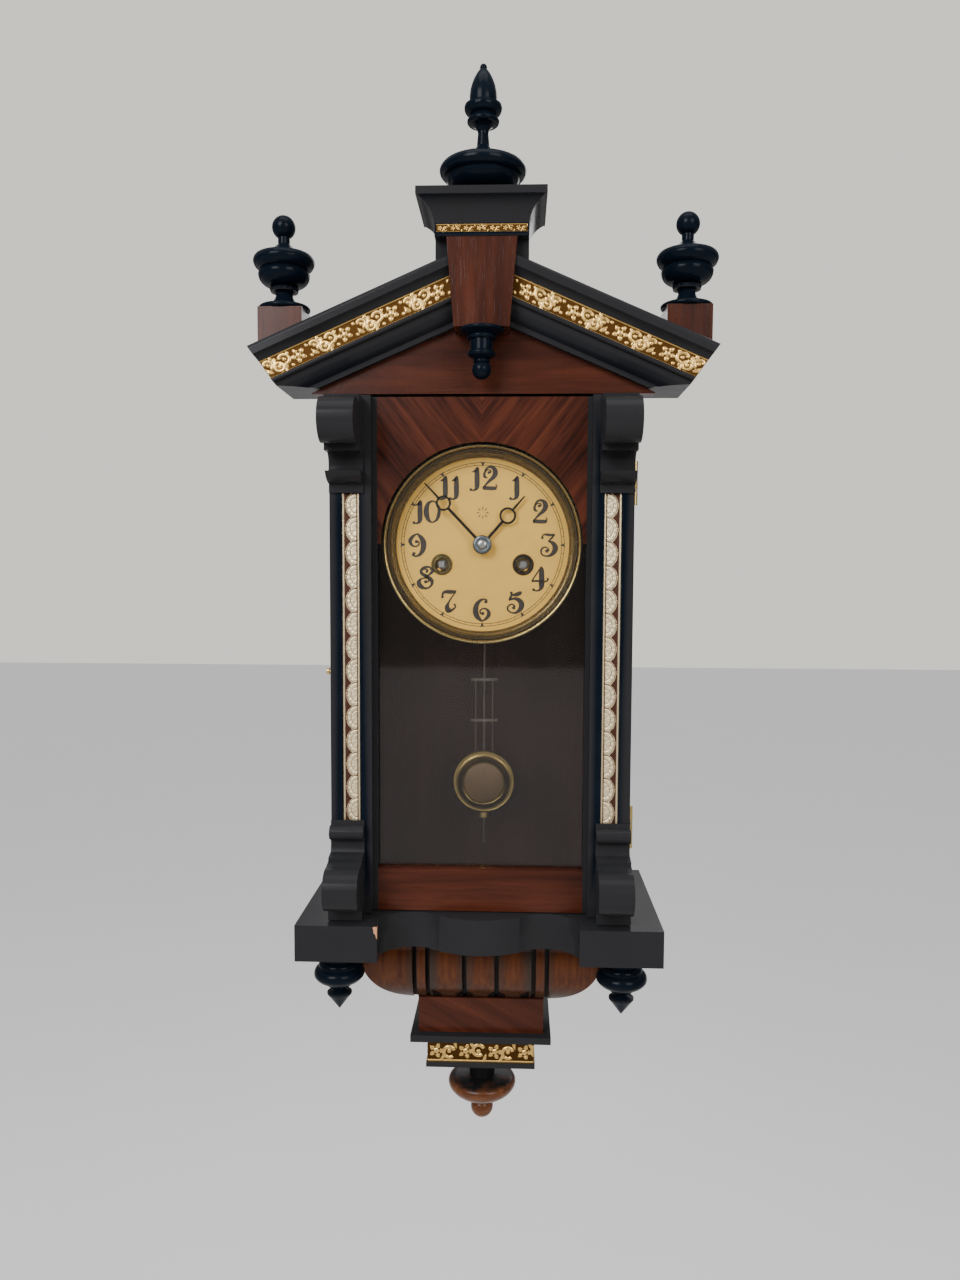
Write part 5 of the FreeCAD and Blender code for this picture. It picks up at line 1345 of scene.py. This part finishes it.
@dataclass
class GiltWork(Assembly):
    """Stamped gilt strips on the gable, the crown and the apron, and the leaf strips on the pilasters."""

    rake_foot: tuple[Point2, Point2] = ((20.19, 3.34), (141.83, -49.55))
    rake_head: tuple[Point2, Point2] = ((21.40, 17.65), (150.02, -38.28))
    rake_back: float = -110.0
    tiles: int = 4
    mesh_step: float = 0.42

    @staticmethod
    def blob(x: float, y: float, cx: float, cy: float, wide: float, high: float,
             turn: float = 0.0) -> float:
        """A soft rounded bump of height 1, seen from above as an ellipse."""
        dx, dy = x - cx, y - cy
        c, s = math.cos(turn), math.sin(turn)
        a, b = (dx * c + dy * s) / wide, (-dx * s + dy * c) / high
        return math.sqrt(max(0.0, 1 - a * a - b * b))

    @staticmethod
    def rolled(x: float, y: float, cx: float, cy: float, radius: float, thick: float, start: float,
               end: float) -> float:
        """A raised scroll line along an arc."""
        dx, dy = x - cx, y - cy
        angle = math.atan2(dy, dx) % (2 * math.pi)
        if not (start <= angle <= end or start <= angle + 2 * math.pi <= end):
            return 0.0
        off = (math.hypot(dx, dy) - radius) / thick
        return math.sqrt(max(0.0, 1 - off * off))

    def rosette(self, x: float, y: float, size: float) -> float:
        """A five-petalled flower with a raised middle.

        Args:
            x: across from its middle.
            y: up from its middle.
            size: its radius.

        Returns:
            Height from 0 to 1.
        """
        distance = math.hypot(x, y) / size
        if distance > 1.15:
            return 0.0
        angle = math.atan2(y, x)
        petals = 0.72 + 0.28 * math.cos(5 * angle)
        edge = 0.80 + 0.20 * math.cos(5 * angle)
        body = math.sqrt(max(0.0, 1 - (distance / max(edge, 0.1)) ** 4)) * petals
        ring = -0.5 * math.exp(-((distance - 0.42) / 0.09) ** 2)
        button = math.sqrt(max(0.0, 1 - (distance / 0.34) ** 2))
        return max(0.0, max(body * 0.8 + ring, button))

    def tile(self, u: float, v: float, period: float, high: float) -> float:
        """One stamped tile: a flower, two curling leaves and buds in a beaded frame.

        Args:
            u: along the strip.
            v: across the strip.
            period: the tile's length.
            high: the strip's width.

        Returns:
            Height from 0 to 1.
        """
        x = u % period
        middle = high / 2
        height = self.rosette(x - period * 0.27, v - middle, high * 0.40)
        for mark, (cx, cy, radius, start, end) in enumerate((
                (0.56, 0.62, 0.24, 0.3, 4.9), (0.72, 0.36, 0.22, 3.3, 8.2), (0.90, 0.64, 0.21, 0.2, 4.6))):
            height = max(height, 0.85 * self.rolled(x, v, period * cx, high * cy, high * radius,
                                                    high * 0.085, start, end))
            height = max(height, 0.8 * self.blob(x, v, period * cx, high * cy, high * 0.10, high * 0.10))
            turn = (0.9, -0.8, 0.7)[mark]
            leaf = self.blob(x, v, period * (cx + 0.07), high * (1.0 - cy), high * 0.30, high * 0.11, turn)
            vein = 1 - 0.45 * math.exp(-(((x - period * (cx + 0.07)) * math.sin(turn) * -1
                                          + (v - high * (1.0 - cy)) * math.cos(turn)) / (high * 0.03)) ** 2)
            height = max(height, 0.75 * leaf * vein)
        for cx, cy in ((0.03, 0.24), (0.05, 0.80), (0.46, 0.18), (0.45, 0.84), (0.62, 0.10), (0.80, 0.90),
                       (0.97, 0.3)):
            height = max(height, 0.7 * self.blob(x, v, period * cx, high * cy, high * 0.09, high * 0.09))
        seam = min(x, period - x)
        if seam < 0.28:
            height *= 0.25
        edge = min(v, high - v)
        if edge < high * 0.06:
            height = max(height, 0.6)
        return height

    def scroll(self, u: float, v: float, period: float, high: float) -> float:
        """Small all-over flowers and curls for a narrow band."""
        x = u % period
        step = int(u // period)
        flip = 1 if step % 2 else -1
        middle = high / 2
        height = self.rosette(x - period * 0.3, v - middle, high * 0.36)
        height = max(height, 0.9 * self.rolled(x, v, period * 0.74, middle + flip * high * 0.06,
                                               high * 0.25, high * 0.08,
                                               0.4, 5.4))
        height = max(height, 0.8 * self.blob(x, v, period * 0.74, middle, high * 0.10, high * 0.10))
        height = max(height, 0.7 * self.blob(x, v, period * 0.98, middle - flip * high * 0.26, high * 0.20,
                                             high * 0.09, flip))
        height = max(height, 0.7 * self.blob(x, v, period * 0.52, middle + flip * high * 0.30, high * 0.18,
                                             high * 0.08, -flip))
        if min(v, high - v) < high * 0.09:
            height = max(height, 0.65)
        return height

    def rake(self) -> None:
        """Cover both sloping bands with stamped tiles."""
        foot, head = self.rake_foot, self.rake_head
        length = (Vector(foot[1]) - Vector(foot[0])).length
        depth = (Vector(head[1]) - Vector(foot[1])).length
        period = length / self.tiles

        def place(u: float, v: float, out: float) -> Vector:
            """A point on the raking strip."""
            low = Vector(foot[0]).lerp(Vector(foot[1]), u / (length * MM))
            high = Vector(head[0]).lerp(Vector(head[1]), u / (length * MM))
            spot = low.lerp(high, v / (depth * MM))
            return Vector((spot.x * MM, self.rake_back * MM - out, spot.y * MM))

        strip = relief("raking_gilt_relief", length * MM, depth * MM, 1.2 * MM, 0.8 * MM,
                       self.mesh_step * MM,
                       lambda u, v: self.tile(u, v, period, depth), place)
        self.dressed(mirrored(strip), "gilt", "case", "gilt", "raking_gilt_strips")

    def bands(self) -> None:
        """The narrow stamped bands under the crown and round the apron."""
        low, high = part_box("crown_gilt_strip")
        tall = (high.z - low.z) / MM
        period = tall * 1.75

        def under_crown(u: float, v: float, out: float) -> Vector:
            """A point on the band under the crown."""
            return Vector((low.x + u, high.y - out, low.z + v))

        piece = relief("crown_gilt_relief", high.x - low.x, high.z - low.z, 0.4 * MM, 0.6 * MM, 0.26 * MM,
                       lambda u, v: self.scroll(u, v, period, tall), under_crown)
        self.dressed(piece, "gilt", "case", "gilt", "crown_gilt_strip")
        band_low, band_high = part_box("apron_gilt_band")
        deep = (band_high.z - band_low.z) / MM
        pitch = deep * 1.35

        def front(u: float, v: float, out: float) -> Vector:
            """A point on the apron band's front."""
            return Vector((band_low.x + u, band_low.y - out, band_low.z + v))

        def side(u: float, v: float, out: float) -> Vector:
            """A point on the apron band's right side."""
            return Vector((band_high.x + out, band_low.y + u, band_low.z + v))

        def pattern(u: float, v: float) -> float:
            """The apron band's scrollwork."""
            return self.scroll(u, v, pitch, deep)

        face = relief("apron_gilt_relief", band_high.x - band_low.x, deep * MM, 0.1 * MM, 0.8 * MM,
                      0.32 * MM, pattern,
                      front)
        flank = relief("flank", band_high.y - band_low.y - 0.5 * MM, deep * MM, 0.1 * MM, 0.8 * MM,
                       0.4 * MM, pattern,
                       side)
        self.dressed(joined("apron_gilt_relief", [face, mirrored(flank)]), "gilt", "case", "gilt")

    def leaf(self, u: float, v: float, period: float, wide: float) -> float:
        """Overlapping fan leaves that spring from one edge of a strip.

        Args:
            u: down the strip.
            v: across the strip, from the edge that the leaves spring from.
            period: one leaf's length.
            wide: the leaf field's width.

        Returns:
            Height from 0 to 1.
        """
        best = 0.0
        for step in (-1, 0, 1):
            x = u % period - period * step
            dx, dy = (x - period * 0.5) / (period * 0.56), v / (wide * 0.97)
            reach = math.hypot(dx, dy)
            if reach > 1.0:
                continue
            angle = math.atan2(dy, dx)
            body = (0.70 + 0.30 * reach) * (0.86 + 0.14 * math.cos(angle * 13))
            for line, thin in ((0.56, 0.035), (0.93, 0.055)):
                body *= 1 - 0.95 * math.exp(-((reach - line) / thin) ** 2)
            if reach < 0.5:
                body *= 0.80 + 0.2 * math.cos(angle * 4)
            best = max(best, body) if reach < 0.86 or best == 0.0 else min(best, body)
        return best

    def pilaster(self, u: float, v: float, width: float) -> float:
        """Across a pilaster strip: fillet, dark line, leaves, dark line, fillet."""
        fillet, line = 1.5, 0.7
        edge = min(v, width - v)
        if edge < fillet:
            return 0.55 + 0.45 * math.sqrt(max(0.0, 1 - ((edge - fillet / 2) / (fillet / 2)) ** 2))
        if edge < fillet + line:
            return 0.0
        field_width = width - 2 * (fillet + line)
        return self.leaf(u, v - fillet - line, 16.14, field_width)

    def leaves(self) -> None:
        """The pale leaf strips on both pilasters, mirrored about the middle."""
        low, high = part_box("pilaster_gilt_strips")
        width = 12.2
        top = high.z

        def place(u: float, v: float, out: float) -> Vector:
            """A point on the pilaster strip."""
            return Vector((high.x - width * MM + v, low.y + 0.9 * MM - out, top - u))

        piece = relief("pilaster_leaf_strips", (high.z - low.z), width * MM, 0.5 * MM, 0.9 * MM, 0.36 * MM,
                       lambda u, v: self.pilaster(u, v, width), place)
        self.dressed(mirrored(piece), "pale_gilt", "door", "cream_gilt", "pilaster_gilt_strips")

    def build(self) -> None:
        """Make every gilt relief."""
        self.rake()
        self.bands()
        self.leaves()


def slotted_head(radius: float, height: float, slot: float) -> bpy.types.Object:
    """A domed screw head with a slot, facing -Y, with its seat at the origin.

    Args:
        radius: the head's radius in millimetres.
        height: how far it stands out.
        slot: the slot's width.

    Returns:
        The head.
    """
    build = bmesh.new()
    steps = 12
    for side in (-1, 1):
        start = math.asin(slot / 2 / radius)
        arc = [start + (math.pi - 2 * start) * i / steps for i in range(steps + 1)]
        levels = ((1.0, 0.0), (1.0, 0.45), (0.86, 0.8), (0.5, 1.0))
        rows = []
        for share, rise in levels:
            row = []
            for angle in arc:
                x, z = radius * math.cos(angle) * share, max(radius * math.sin(angle) * share, slot / 2)
                row.append(build.verts.new(mm(x, -rise * height, z * side)))
            rows.append(row)
        for row, following in zip(rows, rows[1:]):
            for j in range(len(row) - 1):
                build.faces.new((row[j], row[j + 1], following[j + 1], following[j]))
        build.faces.new(rows[0])
        build.faces.new(rows[-1])
        build.faces.new([row[0] for row in rows] + [row[-1] for row in reversed(rows)])
    rim = [mm((radius - 0.05) * math.cos(2 * math.pi * i / 24), 0,
              (radius - 0.05) * math.sin(2 * math.pi * i / 24))
           for i in range(24)]
    low = [build.verts.new(point) for point in rim]
    high = [build.verts.new(point + mm(0, -height * 0.3, 0)) for point in rim]
    build.faces.new(low)
    build.faces.new(high)
    for i in range(24):
        build.faces.new((low[i], low[(i + 1) % 24], high[(i + 1) % 24], high[i]))
    return to_object("screw_head", build, False)


@dataclass
class Fittings(Assembly):
    """The hand nut, and the screws of the hinges and of the hanger plate."""

    hub: Vector = field(default_factory=lambda: mm(0, -87.4, -159.6))
    hinge_heights: tuple[float, float] = (-117.5, -357.0)
    screw_spread: float = 9.5

    def nut(self) -> None:
        """The dished washer over the hands with its slotted head."""
        profile = [(1.62, 0), (1.62, 1.1), (3.0, 1.1), (3.4, 0.9), (4.2, 1.15), (5.2, 1.25), (6.1, 1.0),
                   (6.6, 0.5),
                   (6.6, 0), (1.62, 0)]
        washer = lathe("hand_washer", [(r * MM, h * MM) for r, h in profile], self.hub, Vector((0, -1, 0)),
                       72)
        self.dressed(washer, "nut", "minute", "steel", "hand_nut")
        places = [self.hub + mm(0, -1.1, 0)]
        head = set_at("hand_nut_head", slotted_head(3.1, 1.9, 0.7), places, (0, math.radians(-50), 0),
                      self.shop.finish("steel"))
        self.fit(head, "minute", "steel")

    def hinge_screws(self) -> None:
        """Two screws in each hinge leaf."""
        low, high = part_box("hinge_case_leaves")
        spots = {"case": [], "door": []}
        for level in self.hinge_heights:
            for side in (-1, 1):
                spots["case"].append(Vector((low.x + 1.2 * MM, high.y - 4.2 * MM,
                                             (level + side * self.screw_spread) * MM)))
                spots["door"].append(Vector((0.1028 + 1.2 * MM, -0.1045,
                                             (level + side * self.screw_spread * 0.55) * MM)))
        for body, places in spots.items():
            piece = set_at(body + "_hinge_screws", slotted_head(1.7, 0.5, 0.4), places, (0, 0, math.pi / 2),
                           self.shop.finish("steel"))
            self.fit(piece, body, "steel")

    def plate_screws(self) -> None:
        """Two screws through the hanger plate, seen from behind."""
        places = [mm(0, -0.42, level) for level in (-16, 16)]
        head = slotted_head(2.3, 0.4, 0.6)
        self.fit(set_at("hanger_screws", head, places, (0, 0, math.pi), self.shop.finish("nut")), "case",
                 "steel")

    def build(self) -> None:
        """Make the fittings."""
        self.nut()
        self.hinge_screws()
        self.plate_screws()


@dataclass
class Pendulum(Assembly):
    """The bob: a dished brass disc with a raised ring round a coppered face."""

    centre: Vector = field(default_factory=lambda: mm(0, -29.4, -339.1))
    radius: float = 23.8
    ring: float = 17.4
    face: float = 15.2

    def build(self) -> None:
        """Turn the bob and its face."""
        forward = Vector((0, -1, 0))
        radius, ring, face = self.radius, self.ring, self.face
        dish = [(0, 0), (radius - 2, 0), (radius - 0.4, 0.8), (radius, 2.0), (radius, 3.6),
                (radius - 0.7, 4.4),
                (radius - 1.6, 4.1), (radius - 3.2, 4.4), (radius - 4.8, 5.2), (ring + 0.7, 6.6),
                (ring + 0.2, 8.0),
                (ring - 0.7, 9.0), (ring - 1.5, 8.6), (face + 0.2, 7.6), (face, 7.0), (0, 7.0)]
        strap = slab("bob_strap", [(-3.4, -24.2), (3.4, -24.2), (3.4, -13.1), (-3.4, -13.1)],
                     lambda x, z, out: self.centre + mm(x, 3.0, z) - Vector((0, out, 0)), 3.0 * MM)
        disc = lathe("bob", [(r * MM, h * MM) for r, h in dish], self.centre, forward, 128)
        self.dressed(joined("pendulum_bob_dish", [disc, strap]), "bob_dish", "pendulum", "brass",
                     "pendulum_bob")
        plate = [(0, 7.0), (face - 0.9, 7.0), (face - 0.9, 7.5), (face - 1.5, 7.8), (0, 7.9)]
        cap = lathe("pendulum_bob_face", [(r * MM, h * MM) for r, h in plate], self.centre, forward, 96)
        self.dressed(cap, "bob_face", "pendulum", "brass")
        front = self.centre + mm(0, -7.9, 0)
        bar = slab("scored_line", [(-0.16, -10.5), (0.16, -10.5), (0.16, 10.5), (-0.16, 10.5)],
                   lambda x, z, out: front + mm(x, 0, z) - Vector((0, out, 0)), 0.06 * MM)
        self.dressed(bar, "ink", "pendulum", "blued_steel")
        dot = slab("dot", [(0.75 * math.cos(i * math.pi / 6),
                            0.75 * math.sin(i * math.pi / 6)) for i in range(12)],
                   lambda x, z, out: mm(x, -out, z), 0.09 * MM)
        self.fit(ring_of("bob_dots", dot, 4, 9.4 * MM, front, self.shop.finish("ink")), "pendulum",
                 "blued_steel")


@dataclass
class LastDrop(Assembly):
    """The turned drop under the bottom plate: a collar, a shallow bowl and a ball."""

    foot: tuple[float, float, float] = (0.0, -40.0, -542.5)
    fall: float = 59.5
    ball: float = 8.66
    neck: float = 5.4
    ball_steps: int = 20

    def build(self) -> None:
        """Turn the drop, hanging from its foot."""
        profile = [(0, 0), (13, 0), (12.9, 1.2), (12.4, 3.0), (11.0, 4.6), (10.0, 6.0), (9.6, 24.3),
                   (14, 24.9),
                   (20, 25.4), (23.4, 26.1), (25.1, 27.3), (25.9, 29.0), (26.0, 30.6), (25.6, 32.4),
                   (24.5, 34.4),
                   (22.6, 36.6), (20.0, 38.6), (16.8, 40.4), (13.2, 41.8), (9.4, 42.9), (6.4, 43.5)]
        middle = self.fall - self.ball
        start = math.asin(self.neck / self.ball)
        for step in range(self.ball_steps + 1):
            angle = start + (math.pi - start) * step / self.ball_steps
            profile.append((max(0.0, self.ball * math.sin(angle)), middle - self.ball * math.cos(angle)))
        profile[-1] = (0, self.fall)
        piece = lathe("bottom_drop_turning", [(r * MM, h * MM) for r, h in profile], mm(*self.foot),
                      Vector((0, 0, -1)), 128)
        self.dressed(piece, "half_black", "case", "walnut_light", "bottom_drop")


@dataclass
class BaseWear(Assembly):
    """The bare-wood chip on the left wing of the base board."""

    corner: tuple[float, float, float] = (-68.0, -135.0, -417.0)

    def build(self) -> None:
        """Lay the chip on the wing's inner front corner."""
        x, y, z = self.corner
        outline = [(-2.9, -0.4), (-1.9, -0.1), (-0.1, -0.1), (-0.1, -8.6), (-0.7, -7.4), (-1.0, -5.6),
                   (-2.2, -4.4),
                   (-2.5, -2.2)]
        front = slab("chip_front", outline, lambda a, b,
                     out: mm(x + a, y + 0.03, z + b) - Vector((0, out, 0)), 0.06 * MM)
        step = slab("chip_step", [(0.1, -0.1), (3.4, -0.1), (2.2, -2.6), (1.4, -6.0), (0.1, -8.6)],
                    lambda a, b, out: mm(x - 0.03, y + a, z + b) + Vector((out, 0, 0)), 0.06 * MM)
        self.dressed(joined("base_chip", [front, step]), "bare", "case", "walnut_light")


def main() -> None:
    """Build the clock's looks around its frame."""
    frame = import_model()
    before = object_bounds()
    shop = Workshop()
    for finish, names in DRESSED.items():
        shop.dress_nodes(frame, names, finish)
    Studio(shop).build(before[0][2])
    for assembly in (Dial, GiltWork, Fittings, Pendulum, LastDrop, BaseWear):
        assembly(shop).build()


if __name__ == "__main__":
    main()
